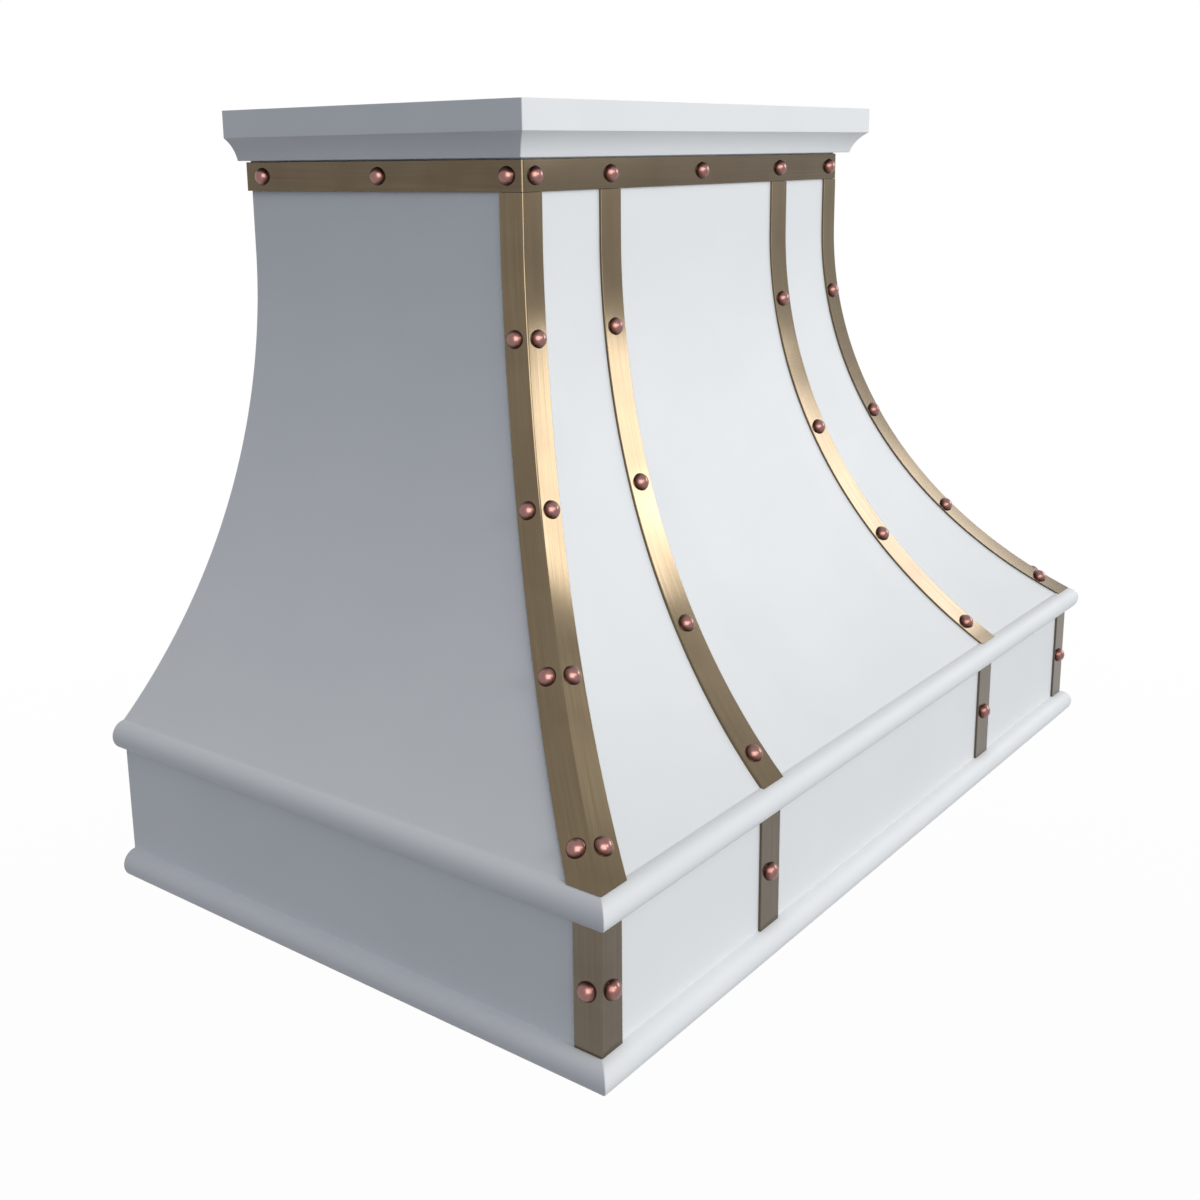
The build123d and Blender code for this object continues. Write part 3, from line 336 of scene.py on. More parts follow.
def brushed_metal(name, light, dark, roughness, line_width, line_length, along):
    """Bare metal with fine lines that run along the hood's axis marked 1 in along, if one is. The
    lines are drawn coarser than the real ones so that they show."""
    material, tree = new_material(name)
    place = add(tree, "TexCoord").outputs["Object"]
    scale = [1 / (line_length if marked else line_width) for marked in along]
    drawn = add(tree, "Mapping", {"Vector": place, "Scale": scale})
    lines = add(tree, "TexNoise", {"Vector": drawn, "Scale": 1.0, "Detail": 3.0})
    spread = add(tree, "MapRange", {0: lines, 1: 0.35, 2: 0.65})
    tint = add(tree, "Mix", {0: spread, 6: colour(dark), 7: colour(light)}, data_type="RGBA")
    gloss = add(tree, "MapRange", {0: spread, 3: roughness + 0.05, 4: roughness - 0.03})
    textured_surface(tree, tint.outputs[2], gloss, lines, 0.2, 0.02 * MM, {"Metallic": 1.0})
    return material


def galvanised_steel():
    """Hot-dip galvanised sheet: zinc crystals of about 11 mm, each with its own grey and shine."""
    material, tree = new_material("galvanised_steel")
    place = add(tree, "TexCoord").outputs["Object"]
    warp = add(tree, "TexNoise", {"Vector": place, "Scale": 1 / (6 * MM), "Detail": 3.0})
    # The crystals' edges wander by up to 4 mm
    shift = add(tree, "VectorMath", {0: warp.outputs[1], 1: [4 * MM] * 3}, operation="MULTIPLY")
    bent = add(tree, "VectorMath", {0: place, 1: shift}, operation="ADD")
    crystals = add(tree, "TexVoronoi", {"Vector": bent, "Scale": 1 / (11 * MM)})
    grey = add(tree, "SeparateColor", {0: crystals.outputs["Color"]})
    tint = add(tree, "Mix", {0: grey, 6: colour("#A6ABAE"), 7: colour("#B5B9BC")}, data_type="RGBA")
    gloss = add(tree, "MapRange", {0: grey.outputs[1], 3: 0.38, 4: 0.47})
    textured_surface(tree, tint.outputs[2], gloss, grey, 0.08, 0.1 * MM, {"Metallic": 0.9})
    return material


def speckled(name, light, dark, grain, metallic, roughness):
    """A moulded, sprayed or cast surface with a fine grain of the given size."""
    material, tree = new_material(name)
    place = add(tree, "TexCoord").outputs["Object"]
    grains = add(tree, "TexNoise", {"Vector": place, "Scale": 1 / grain, "Detail": 3.0})
    tint = add(tree, "Mix", {0: grains, 6: colour(dark), 7: colour(light)}, data_type="RGBA")
    gloss = add(tree, "MapRange", {0: grains, 3: roughness + 0.06, 4: roughness - 0.06})
    textured_surface(tree, tint.outputs[2], gloss, grains, 0.3, 0.05 * MM, {"Metallic": metallic})
    return material


def frosted_glass():
    """Acid-frosted soda glass over a lamp: milky, with a fine tooth that blurs what it mirrors."""
    material, tree = new_material("frosted_soda_glass")
    place = add(tree, "TexCoord").outputs["Object"]
    tooth = add(tree, "TexNoise", {"Vector": place, "Scale": 1 / (0.8 * MM), "Detail": 2.0})
    gloss = add(tree, "MapRange", {0: tooth, 3: 0.35, 4: 0.5})
    textured_surface(tree, colour("#F4F5F2"), gloss, tooth, 0.3, 0.05 * MM, {
        "IOR": 1.52, "Transmission Weight": 0.2})
    return material


coat = polyester_powder_coat()
brass = brushed_antique_brass("brushed_antique_brass", "#776A55", "#6B5D4A", "#5F5242")
# The band's brass is darker, and the apron straps' brass greyer, than that of the long straps
band_brass = brushed_antique_brass("brushed_dark_brass", "#685C4B", "#5C5142", "#514637")
apron_brass = brushed_antique_brass("brushed_grey_brass", "#70665A", "#645B50", "#5A5046")
copper = satin_copper()
galvanised = galvanised_steel()
# Brushed type 304 stainless: a cool satin grey, with its lines along the hood's width or depth
stainless = brushed_metal("brushed_stainless_304", "#BDBFC0", "#AFB1B3", 0.32, 0.6 * MM, 260 * MM,
                          (1, 0, 0))
stainless_deep = brushed_metal("brushed_stainless_304_deep", "#BDBFC0", "#AFB1B3", 0.32, 0.6 * MM,
                               260 * MM, (0, 1, 0))
# Bright drawn steel wire and rod: light, with sharp glints and faint lines along the draw
drawn_steel = brushed_metal("drawn_bright_steel", "#D4D5D6", "#BCBEC0", 0.18, 0.5 * MM, 30 * MM,
                            (1, 0, 0))
# Turned steel of the knobs and lamp rims: bright, with a fine even grain that softens the glints
turned_steel = brushed_metal("turned_steel", "#CFCFCE", "#B4B5B5", 0.26, 0.5 * MM, 0.5 * MM,
                             (0, 0, 0))
# Mill-finish aluminium of the fan wheel: pale, with a soft cloudy shine
mill_aluminium = speckled("mill_aluminium", "#D2D4D6", "#BFC2C5", 3 * MM, 1.0, 0.38)
# Stoved enamel of the motor: almost black and half glossy
motor_enamel = speckled("black_stoving_enamel", "#232426", "#17181A", 2 * MM, 0.0, 0.42)
# Moulded rubber of the grommet: matt and nearly black
epdm_rubber = speckled("epdm_rubber", "#1D1D1E", "#131314", 1 * MM, 0.0, 0.72)
# Extruded vinyl jacket of the leads: dark grey with a waxy shine
pvc_jacket = speckled("pvc_lead_jacket", "#35363A", "#2A2B2E", 1.5 * MM, 0.0, 0.48)
lamp_glass = frosted_glass()


# Shapes

def wall_point(x, depth, z):
    """Point at x, a depth out from the wall and a height."""
    return Vector((x, WALL_Y - depth, z))


def rounded(corners, steps=3):
    """Closed outline whose corners, each (x, y, radius), are rounded with arcs of so many steps."""
    points = []
    for i, (x, y, radius) in enumerate(corners):
        corner = Vector((x, y))
        if radius == 0:
            points.append(corner)
            continue
        before = (Vector(corners[i - 1][:2]) - corner).normalized()
        after = (Vector(corners[(i + 1) % len(corners)][:2]) - corner).normalized()
        half = before.angle(after) / 2
        centre = corner + (before + after).normalized() * radius / sin(half)
        start = corner + before * radius / tan(half) - centre
        end = corner + after * radius / tan(half) - centre
        turn = pi - 2 * half
        for k in range(steps + 1):
            share = k / steps
            spoke = start * sin((1 - share) * turn) + end * sin(share * turn)
            points.append(centre + spoke / sin(turn))
    return points


def bowed(start, end, sag, steps):
    """Points of a shallow arc from start to end that bows to the left by sag, ends left out."""
    chord = end - start
    radius = chord.length**2 / (8 * sag) + sag / 2
    normal = Vector((-chord.y, chord.x)).normalized()
    centre = (start + end) / 2 + normal * (sag - radius)
    first = atan2(start.y - centre.y, start.x - centre.x)
    sweep = 2 * asin(chord.length / 2 / radius)
    turns = [first - sweep * k / steps for k in range(1, steps)]
    return [centre + radius * Vector((cos(turn), sin(turn))) for turn in turns]


def quarter_turn(steps):
    """Directions from straight out at the side to straight ahead, as (forward, sideways)."""
    turns = [pi / 2 * k / steps for k in range(steps + 1)]
    return [(sin(turn), cos(turn)) for turn in turns]


def edge_profile(profile, radius, height=0.0):
    """Points of a turned edge from its profile in millimetres past a radius and a height."""
    return [(radius + out * MM, height + up * MM) for out, up in profile]


def section_at(z, plan, side=1):
    """Section at height z from a plan of (x, depth) points; side is -1 for the hood's left."""
    return [wall_point(side * x, depth, z) for x, depth in plan]


def running_lengths(points):
    """Distance run along a row of points, starting from 0."""
    lengths = [0.0]
    for i in range(1, len(points)):
        lengths.append(lengths[-1] + (points[i] - points[i - 1]).length)
    return lengths


def close_ends(bm):
    """Fill every open loop of a bmesh with one face."""
    bmesh.ops.holes_fill(bm, edges=[e for e in bm.edges if e.is_boundary], sides=0)


def skin(sections):
    """A closed piece over a row of closed sections with as many points each. The UV map holds
    metres: round the section across, and from section to section along."""
    columns, rows = len(sections[0]), len(sections) - 1
    around = running_lengths(sections[0] + sections[0][:1])
    along = running_lengths([section[0] for section in sections])
    bm = bmesh.new()
    uv = bm.loops.layers.uv.new("UVMap")
    bmesh.ops.create_grid(bm, x_segments=columns, y_segments=rows, size=0.5, calc_uvs=True)
    for vertex in bm.verts:
        i = round((vertex.co.x + 0.5) * columns)
        j = round((vertex.co.y + 0.5) * rows)
        vertex.co = sections[j][i % columns]
    for face in bm.faces:
        for loop in face.loops:
            i, j = round(loop[uv].uv.x * columns), round(loop[uv].uv.y * rows)
            loop[uv].uv = (around[i], along[j])
    bmesh.ops.remove_doubles(bm, verts=bm.verts[:], dist=SAME_POINT)
    close_ends(bm)
    return bm


def turned(outline, steps):
    """A piece turned about Z from an outline of (radius, height), which is closed unless its ends
    are on the axis. Its UV map is the plan view in metres, with the axis at its origin."""
    bm = bmesh.new()
    uv = bm.loops.layers.uv.new("UVMap")
    line = [bm.verts.new((radius, 0, height)) for radius, height in outline]
    edges = [bm.edges.new((line[i - 1], line[i])) for i in range(1, len(line))]
    if min(outline[0][0], outline[-1][0]) > 0:
        edges.append(bm.edges.new((line[-1], line[0])))
    bmesh.ops.spin(bm, geom=line + edges, cent=(0, 0, 0), axis=(0, 0, 1), angle=2 * pi,
                   steps=steps, use_merge=True)
    bmesh.ops.remove_doubles(bm, verts=bm.verts[:], dist=SAME_POINT)
    bmesh.ops.dissolve_degenerate(bm, edges=bm.edges[:], dist=SAME_POINT)
    for face in bm.faces:
        for loop in face.loops:
            loop[uv].uv = loop.vert.co.xy
    return bm


def joined(parts):
    """One bmesh that holds all the given ones."""
    whole = bmesh.new()
    for part in parts:
        mesh = bpy.data.meshes.new("part")
        part.to_mesh(mesh)
        part.free()
        whole.from_mesh(mesh)
        bpy.data.meshes.remove(mesh)
    return whole


def finish_piece(name, bm, material, nodes, body="hood", sharp=40):
    """Make a bmesh an object that rides on a body and stands for its CAD nodes. Its edges stay
    sharp where they bend by more than sharp degrees."""
    bmesh.ops.recalc_face_normals(bm, faces=bm.faces[:])
    mesh = bpy.data.meshes.new(name)
    bm.to_mesh(mesh)
    bm.free()
    mesh.materials.append(material)
    mesh.shade_smooth()
    mesh.set_sharp_from_angle(angle=radians(sharp))
    piece = bpy.data.objects.new(name, mesh)
    bpy.context.scene.collection.objects.link(piece)
    weighted = piece.modifiers.new("weighted_normals", "WEIGHTED_NORMAL")
    weighted.keep_sharp = True
    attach(piece, body)
    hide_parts(*nodes)
    return piece


# Shell

def flare_levels(low, high):
    """Heights of the rows of a flared piece, from its foot to its top."""
    return [low + (high - low) * k / FLARE_ROWS for k in range(FLARE_ROWS + 1)]


def flared_panels():
    """Front panel, and the side panels with their flange along the wall."""
    levels = flare_levels(RAIL_TOP, PANEL_HIGH.z)
    sections = []
    for z in levels:
        half = side_flare.reach(z, -SHEET)
        outer, inner = front_flare.reach(z), front_flare.reach(z, -SHEET)
        sections.append(section_at(z, ((-half, inner), (-half, outer), (half, outer), (half, inner))))
    finish_piece("front_panel_sheet", skin(sections), coat, ["front_panel"])
    for name, side in SIDES:
        sections = []
        for z in levels:
            outer, inner = side_flare.reach(z), side_flare.reach(z, -SHEET)
            edge, front = side_flare.reach(z, -BACK_FLANGE), front_flare.reach(z)
            plan = ((outer, 0), (outer, front), (inner, front), (inner, 2 * SHEET), (edge, 2 * SHEET),
                    (edge, SHEET), (inner, SHEET), (inner, 0))
            sections.append(section_at(z, plan, side))
        finish_piece(f"{name}_panel_sheet", skin(sections), coat, [f"{name}_panel"])


def mitred_run(name, outline, half, depth, slack=0.0):
    """Three lengths of moulding round the front and sides, cut on the mitre. The outline is
    (out, up). On the sides, its points behind the cove lie further in by slack, where the lip of
    the side lengths is wider."""
    corners = quarter_turn(MITRE_STEPS)

    def station(x_sign, forward, sideways, at_wall):
        section = []
        for out, up in outline:
            x = half + out - MITRE_ROUND + MITRE_ROUND * sideways
            y = depth + out - MITRE_ROUND + MITRE_ROUND * forward
            if slack and out < -COVE_RUN - 2 * SHEET:
                x -= slack
            section.append(wall_point(x_sign * x, 0 if at_wall else y, up))
        return section

    stations = [station(-1, 0, 1, True)]
    stations += [station(-1, forward, sideways, False) for forward, sideways in corners]
    stations += [station(1, forward, sideways, False) for forward, sideways in reversed(corners)]
    stations += [station(1, 0, 1, True)]
    whole = skin(stations)
    left_corner, right_corner = wall_point(-half, depth, 0), wall_point(half, depth, 0)
    for part, cuts in (("left", [(left_corner, (1, -1, 0))]), ("right", [(right_corner, (-1, -1, 0))]),
                       ("front", [(left_corner, (-1, 1, 0)), (right_corner, (1, 1, 0))])):
        bm = whole.copy()
        for point, normal in cuts:
            bmesh.ops.bisect_plane(bm, geom=bm.verts[:] + bm.edges[:] + bm.faces[:], plane_co=point,
                                   plane_no=normal, clear_outer=True)
            close_ends(bm)
        finish_piece(f"{name}_{part}_moulding", bm, coat, [f"{name}_{part}"])
    whole.free()


def rails():
    """Hollow half-round rails above and below the apron."""
    inner = RAIL_RADIUS - SHEET
    for name, z in (("lower_rail", RAIL_LOW.z + RAIL_RADIUS), ("upper_rail", RAIL_TOP - RAIL_RADIUS)):
        turns = [pi * (k / RAIL_STEPS - 0.5) for k in range(RAIL_STEPS + 1)]
        outline = [Vector((RAIL_RADIUS * cos(a), z + RAIL_RADIUS * sin(a))) for a in turns]
        outline += [Vector((inner * cos(a), z + inner * sin(a))) for a in reversed(turns)]
        mitred_run(name, outline, APRON_HALF, APRON_DEPTH)


def crown():
    """Crown of folded sheet: flat fascia, shallow cove and a lip that reaches the neck."""
    half = CROWN_HIGH.x
    depth = WALL_Y - CROWN_LOW.y
    base, top = CROWN_LOW.z, CROWN_HIGH.z
    fascia = top - CROWN_FASCIA
    lip = depth - (WALL_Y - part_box("crown_front")[1].y)
    slack = (half - CROWN_LOW.x) - lip
    head, foot = Vector((0, fascia)), Vector((-COVE_RUN, base))
    inner_head, inner_foot = Vector((-SHEET, fascia + SHEET / 2)), foot + Vector((-SHEET, SHEET))
    corners = [(0, fascia, FOLD), (0, top, SHEET_EDGE), (-SHEET, top, SHEET_EDGE), (*inner_head, 0)]
    corners += [(*p, 0) for p in reversed(bowed(inner_foot, inner_head, COVE_SAG, INNER_COVE_STEPS))]
    corners += [(*inner_foot, 0), (-lip, base + SHEET, SHEET_EDGE), (-lip, base, SHEET_EDGE),
                (*foot, FOLD)]
    corners += [(*p, 0) for p in bowed(foot, head, COVE_SAG, COVE_STEPS)]
    mitred_run("crown", rounded(corners), half, depth, slack)


# Brass

def finish_bar(node, sections, metal):
    """A bar of brass over its sections, which stands for one CAD node."""
    finish_piece(f"{node}_bar", skin(sections), metal, [node])


def strap_plan(middle, inner):
    """Plan of a flat strap from its middle and its inner face, with its outer edges eased."""
    half, outer = STRAP_WIDTH / 2, inner + STRAP_THICKNESS
    return rounded([(middle - half, inner, 0), (middle + half, inner, 0),
                    (middle + half, outer, BAR_EDGE), (middle - half, outer, BAR_EDGE)])


def top_band():
    """Flat band round the neck, bent round the two front corners."""
    height = BAND_HIGH.z - BAND_LOW.z
    outline = rounded([(0, 0, BAR_EDGE), (STRAP_THICKNESS, 0, BAR_EDGE),
                       (STRAP_THICKNESS, height, BAR_EDGE), (0, height, BAR_EDGE)])
    back_half = BODY_TOP_HALF + BAND_SPLAY
    bends = quarter_turn(BAND_BEND_STEPS)
    path = [(-back_half, 0, 0, -1)]
    path += [(-BODY_TOP_HALF, BODY_TOP_DEPTH, forward, -sideways) for forward, sideways in bends]
    path += [(BODY_TOP_HALF, BODY_TOP_DEPTH, forward, sideways) for forward, sideways in reversed(bends)]
    path += [(back_half, 0, 0, 1)]
    sections = [[wall_point(x + sideways * out, depth + forward * out, BAND_LOW.z + up)
                 for out, up in outline] for x, depth, forward, sideways in path]
    finish_bar("top_band", sections, band_brass)


def face_straps():
    """The two long straps that follow the flare on the front."""
    for name, side in SIDES:
        sections = [[wall_point(side * strap_line.reach(z, across), front_flare.reach(z, out), z)
                     for across, out in strap_plan(0, 0)]
                    for z in flare_levels(RAIL_TOP, STRAP_HIGH.z)]
        finish_bar(f"face_strap_{name}", sections, brass)


def angle_plan(outer, inner, leg_ends):
    """Plan of an angle strap as (x, depth) points; outer, inner and leg_ends are (x, depth)."""
    return rounded([(outer[0], leg_ends[1], BAR_EDGE), (*outer, STRAP_BEND),
                    (leg_ends[0], outer[1], BAR_EDGE), (leg_ends[0], inner[1], 0), (*inner, 0),
                    (inner[0], leg_ends[1], 0)], steps=4)


def corner_straps():
    """The angle straps over the flared corners."""
    t = STRAP_THICKNESS
    side_leg = Flare(BODY_TOP_HALF + t - CORNER_LEG_TOP, APRON_HALF + t - CORNER_LEG_FOOT,
                     SIDE_TANGENT_Z)
    front_leg = Flare(BODY_TOP_DEPTH + t - CORNER_LEG_TOP, APRON_DEPTH + t - CORNER_LEG_FOOT,
                      FRONT_TANGENT_Z)
    for name, side in SIDES:
        sections = []
        for z in flare_levels(RAIL_TOP, STRAP_HIGH.z):
            plan = angle_plan((side_flare.reach(z, t), front_flare.reach(z, t)),
                              (side_flare.reach(z), front_flare.reach(z)),
                              (side_leg.reach(z), front_leg.reach(z)))
            sections.append(section_at(z, plan, side))
        finish_bar(f"corner_strap_{name}", sections, brass)


def apron_straps():
    """The angle straps on the apron's corners and the two flat straps between them."""
    levels = (APRON_STRAP_LOW.z, APRON_STRAP_HIGH.z)
    outer = (APRON_HALF + STRAP_THICKNESS, APRON_DEPTH + STRAP_THICKNESS)
    corner_plan = angle_plan(outer, (APRON_HALF, APRON_DEPTH),
                             (outer[0] - APRON_LEG, outer[1] - APRON_LEG))
    for name, side in SIDES:
        finish_bar(f"apron_corner_strap_{name}", [section_at(z, corner_plan, side) for z in levels],
                   apron_brass)
        flat_plan = strap_plan(side * STRAP_FOOT_X, APRON_DEPTH)
        finish_bar(f"apron_strap_{name}", [section_at(z, flat_plan) for z in levels], apron_brass)


def front_rivet_site(x, z):
    """Seat and outward direction of a rivet on the flared front."""
    out = STRAP_THICKNESS + RIVET_LIFT
    tilt = front_flare.tilt(z, out)
    return wall_point(x, front_flare.reach(z, out), z), Vector((0, -cos(tilt), sin(tilt)))


def side_rivet_site(side, depth, z):
    """Seat and outward direction of a rivet on a flared side; side is -1 for left, 1 for right."""
    out = STRAP_THICKNESS + RIVET_LIFT
    tilt = side_flare.tilt(z, out)
    seat = wall_point(side * side_flare.reach(z, out), depth, z)
    return seat, Vector((side * cos(tilt), 0, sin(tilt)))


def rivet_sites():
    """Every rivet as (seat, outward direction)."""
    out = STRAP_THICKNESS + RIVET_LIFT
    band_z = (BAND_LOW.z + BAND_HIGH.z) / 2
    corner_x = BODY_TOP_HALF - RIVET_FROM_CORNER
    sites = [front_rivet_site(x, band_z) for x in (-corner_x, -STRAP_TOP_X, 0, STRAP_TOP_X, corner_x)]
    face, edge = APRON_DEPTH + out, APRON_HALF + out
    ahead = Vector((0, -1, 0))
    for side in (-1, 1):
        for depth in (BAND_RIVET_BACK, BAND_RIVET_MID, BODY_TOP_DEPTH - RIVET_FROM_CORNER):
            x = BODY_TOP_HALF + out + BAND_SPLAY * (1 - depth / BODY_TOP_DEPTH)
            lean = BAND_SPLAY / BODY_TOP_DEPTH
            sites.append((wall_point(side * x, depth, band_z), Vector((side, -lean, 0)).normalized()))
        for share in STRAP_RIVET_SHARES:
            z = BAND_LOW.z - share * (BAND_LOW.z - RAIL_TOP)
            x = side_flare.reach(z, STRAP_THICKNESS) - RIVET_FROM_CORNER
            depth = front_flare.reach(z, STRAP_THICKNESS) - RIVET_FROM_CORNER
            sites.append(front_rivet_site(side * x, z))
            sites.append(side_rivet_site(side, depth, z))
            sites.append(front_rivet_site(side * strap_line.reach(z), z))
        for x in (edge - APRON_RIVET_FROM_CORNER, STRAP_FOOT_X):
            sites.append((wall_point(side * x, face, APRON_RIVET_Z), ahead))
        sites.append((wall_point(side * edge, face - APRON_RIVET_FROM_CORNER, APRON_RIVET_Z),
                      Vector((side, 0, 0))))
    return sites


def rivets():
    """All the rivets: a dome on a shank, with the tail that is set behind the sheet."""
    sphere = (RIVET_RADIUS**2 + RIVET_HEIGHT**2) / (2 * RIVET_HEIGHT)
    dome_turn = asin(RIVET_RADIUS / sphere)
    grip = STRAP_THICKNESS + SHEET + 2 * RIVET_LIFT
    outline = []
    for k in range(DOME_STEPS + 1):
        turn = dome_turn * k / DOME_STEPS
        outline.append((sphere * sin(turn), RIVET_HEIGHT - sphere + sphere * cos(turn)))
    outline += [(SHANK_RADIUS, 0), (SHANK_RADIUS, -grip), (TAIL_RADIUS, -grip),
                (TAIL_RADIUS, -grip - TAIL_THICKNESS), (0, -grip - TAIL_THICKNESS)]
    made = []
    for seat, direction in rivet_sites():
        bm = turned(outline, RIVET_STEPS)
        turn = direction.to_track_quat("Z", "Y").to_matrix().to_4x4()
        bmesh.ops.transform(bm, matrix=Matrix.Translation(seat) @ turn, verts=bm.verts[:])
        made.append(bm)
    finish_piece("rivet_heads", joined(made), copper, ["rivets"])


# Underside

def moved(bm, x, y, z):
    """The same bmesh, shifted."""
    bmesh.ops.translate(bm, verts=bm.verts[:], vec=(x, y, z))
    return bm


def prism(outline, low, high, axis):
    """A closed outline drawn along one axis, which is 0 for X, 1 for Y and 2 for Z. The outline's
    own pair of directions are the other two axes in order."""
    sections = []
    for level in (low, high):
        section = []
        for p in outline:
            place = list(p)
            place.insert(axis, level)
            section.append(Vector(place))
        sections.append(section)
    return skin(sections)


def wire(path, radius):
    """Round wire along a flat path of points in X and Z, with its ends closed."""
    turns = [2 * pi * k / WIRE_STEPS for k in range(WIRE_STEPS)]
    sections = []
    for i, here in enumerate(path):
        run = (path[min(i + 1, len(path) - 1)] - path[max(i - 1, 0)]).normalized()
        across = Vector((-run.z, 0, run.x))
        sections.append([here + radius * (cos(turn) * across + Vector((0, sin(turn), 0)))
                         for turn in turns])
    return skin(sections)


def filter_frame(name):
    """Channel frame of a filter, folded from sheet and mitred at its corners, with two ears."""
    low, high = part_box(f"filter_frame_{name}")
    foot = high.z - FILTER_THICKNESS
    s, lip = FRAME_SHEET, FRAME_LIP
    fold = FOLD / 2
    outline = rounded([(0, foot, 2 * fold), (lip, foot, fold / 2), (lip, foot + s, fold / 2),
                       (s, foot + s, fold), (s, high.z - s, fold), (lip, high.z - s, fold / 2),
                       (lip, high.z, fold / 2), (0, high.z, 2 * fold)], steps=3)
    corners = ((low.x, low.y, 1, 1), (high.x, low.y, -1, 1), (high.x, high.y, -1, -1),
               (low.x, high.y, 1, -1))
    lengths = []
    for i, start in enumerate(corners):
        end = corners[(i + 1) % 4]
        run = (Vector(end[:2]) - Vector(start[:2])).normalized() * MITRE_GAP
        sections = []
        for corner, slip in ((start, run), (end, -run)):
            x, y, x_in, y_in = corner
            sections.append([Vector((x + x_in * d + slip.x, y + y_in * d + slip.y, z))
                             for d, z in outline])
        lengths.append(skin(sections))
    bail_low, bail_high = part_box(f"filter_bail_{name}")
    pivot_y = (bail_low.y + bail_high.y) / 2
    front, back, ear_foot = pivot_y - BAIL_WIRE, pivot_y + BAIL_WIRE, foot - EAR_HEIGHT
    ear = rounded([(front, foot, 0), (front, ear_foot, EAR_ROUND), (back, ear_foot, EAR_ROUND),
                   (back, foot, 0)], steps=5)
    inner = BAIL_WIRE + EAR_THICKNESS + EAR_GAP
    lengths.append(prism(ear, bail_low.x + inner, bail_low.x + inner + EAR_THICKNESS, 0))
    lengths.append(prism(ear, bail_high.x - inner - EAR_THICKNESS, bail_high.x - inner, 0))
    finish_piece(f"filter_{name}_channel_frame", joined(lengths), stainless_deep,
                 [f"filter_frame_{name}"], f"filter_{name}")


def filter_baffles(name):
    """Two rows of folded channels that face each other, set half a pitch apart."""
    low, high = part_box(f"filter_baffles_{name}")
    s, half, tall = BAFFLE_SHEET, BAFFLE_WIDTH / 2, BAFFLE_HEIGHT
    outline = rounded([(-half, tall, s / 4), (-half, 0, BAFFLE_BEND), (half, 0, BAFFLE_BEND),
                       (half, tall, s / 4), (half - s, tall, s / 4), (half - s, s, BAFFLE_BEND - s),
                       (s - half, s, BAFFLE_BEND - s), (s - half, tall, s / 4)], steps=4)
    pitch = (high.x - low.x - BAFFLE_WIDTH) / (BAFFLE_COUNT - 1)
    channels = []
    for i in range(BAFFLE_COUNT):
        middle = low.x + half + i * pitch
        channels.append(prism([(middle + x, low.z + z) for x, z in outline], low.y, high.y, 1))
        if i < BAFFLE_COUNT - 1:
            middle += pitch / 2
            channels.append(prism([(middle + x, high.z - z) for x, z in outline], low.y, high.y, 1))
    finish_piece(f"filter_{name}_baffle_channels", joined(channels), stainless_deep,
                 [f"filter_baffles_{name}"], f"filter_{name}")


def filter_bail(name):
    """Drop handle of bent wire, with its two ends turned in through the ears."""
    low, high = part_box(f"filter_bail_{name}")
    r = BAIL_WIRE / 2
    left, right, top, foot = low.x + r, high.x - r, high.z - r, low.z + r
    reach = BAIL_WIRE + 2 * EAR_THICKNESS
    flat = rounded([(left + reach, top, 0), (left, top, BAIL_WIRE), (left, foot, BAIL_BEND),
                    (right, foot, BAIL_BEND), (right, top, BAIL_WIRE), (right - reach, top, 0)], steps=7)
    path = [Vector((p[0], (low.y + high.y) / 2, p[1])) for p in flat]
    finish_piece(f"filter_{name}_wire_bail", wire(path, r), drawn_steel,
                 [f"filter_bail_{name}"], f"bail_{name}", sharp=60)


def lamps():
    """Four recessed lamps: spun rims with a chamfered edge, and domed lenses with fine rings."""
    low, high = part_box("lamp_bodies")
    lens_low, lens_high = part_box("lamp_lenses")
    outer, inner = high.y - low.y, LAMP_RADIUS - LAMP_WALL
    flange = outer / 2
    y = (low.y + high.y) / 2
    tall = high.z - low.z
    rim = [(0, tall), (LAMP_RADIUS, tall), (LAMP_RADIUS, LAMP_FLANGE),
           (flange - LAMP_EASE, LAMP_FLANGE), (flange, LAMP_FLANGE - LAMP_EASE)]
    rim += edge_profile(LAMP_RIM_EDGE, flange)
    rim += edge_profile(LAMP_MOUTH_EDGE, inner)
    rim += [(inner, tall - LAMP_WALL), (0, tall - LAMP_WALL)]
    lens_radius = (lens_high.y - lens_low.y) / 2
    glass = [(0, lens_high.z - low.z), (lens_radius, lens_high.z - low.z)]
    for k in range(2 * LENS_RINGS, -1, -1):
        share = k / (2 * LENS_RINGS)
        ripple = LENS_RIPPLE if k % 2 and share < LENS_RINGED_SHARE else 0
        glass.append((lens_radius * share, LENS_RECESS + LENS_DOME * share**2 + ripple))
    rims, glasses = [], []
    for x in (low.x + flange, -LAMP_INNER_X, LAMP_INNER_X, high.x - flange):
        rims.append(moved(turned(rim, LAMP_STEPS), x, y, low.z))
        glasses.append(moved(turned(glass, LAMP_STEPS), x, y, low.z))
    finish_piece("lamp_rims", joined(rims), turned_steel, ["lamp_bodies"])
    finish_piece("lamp_ring_lenses", joined(glasses), lamp_glass, ["lamp_lenses"],
                 sharp=25)


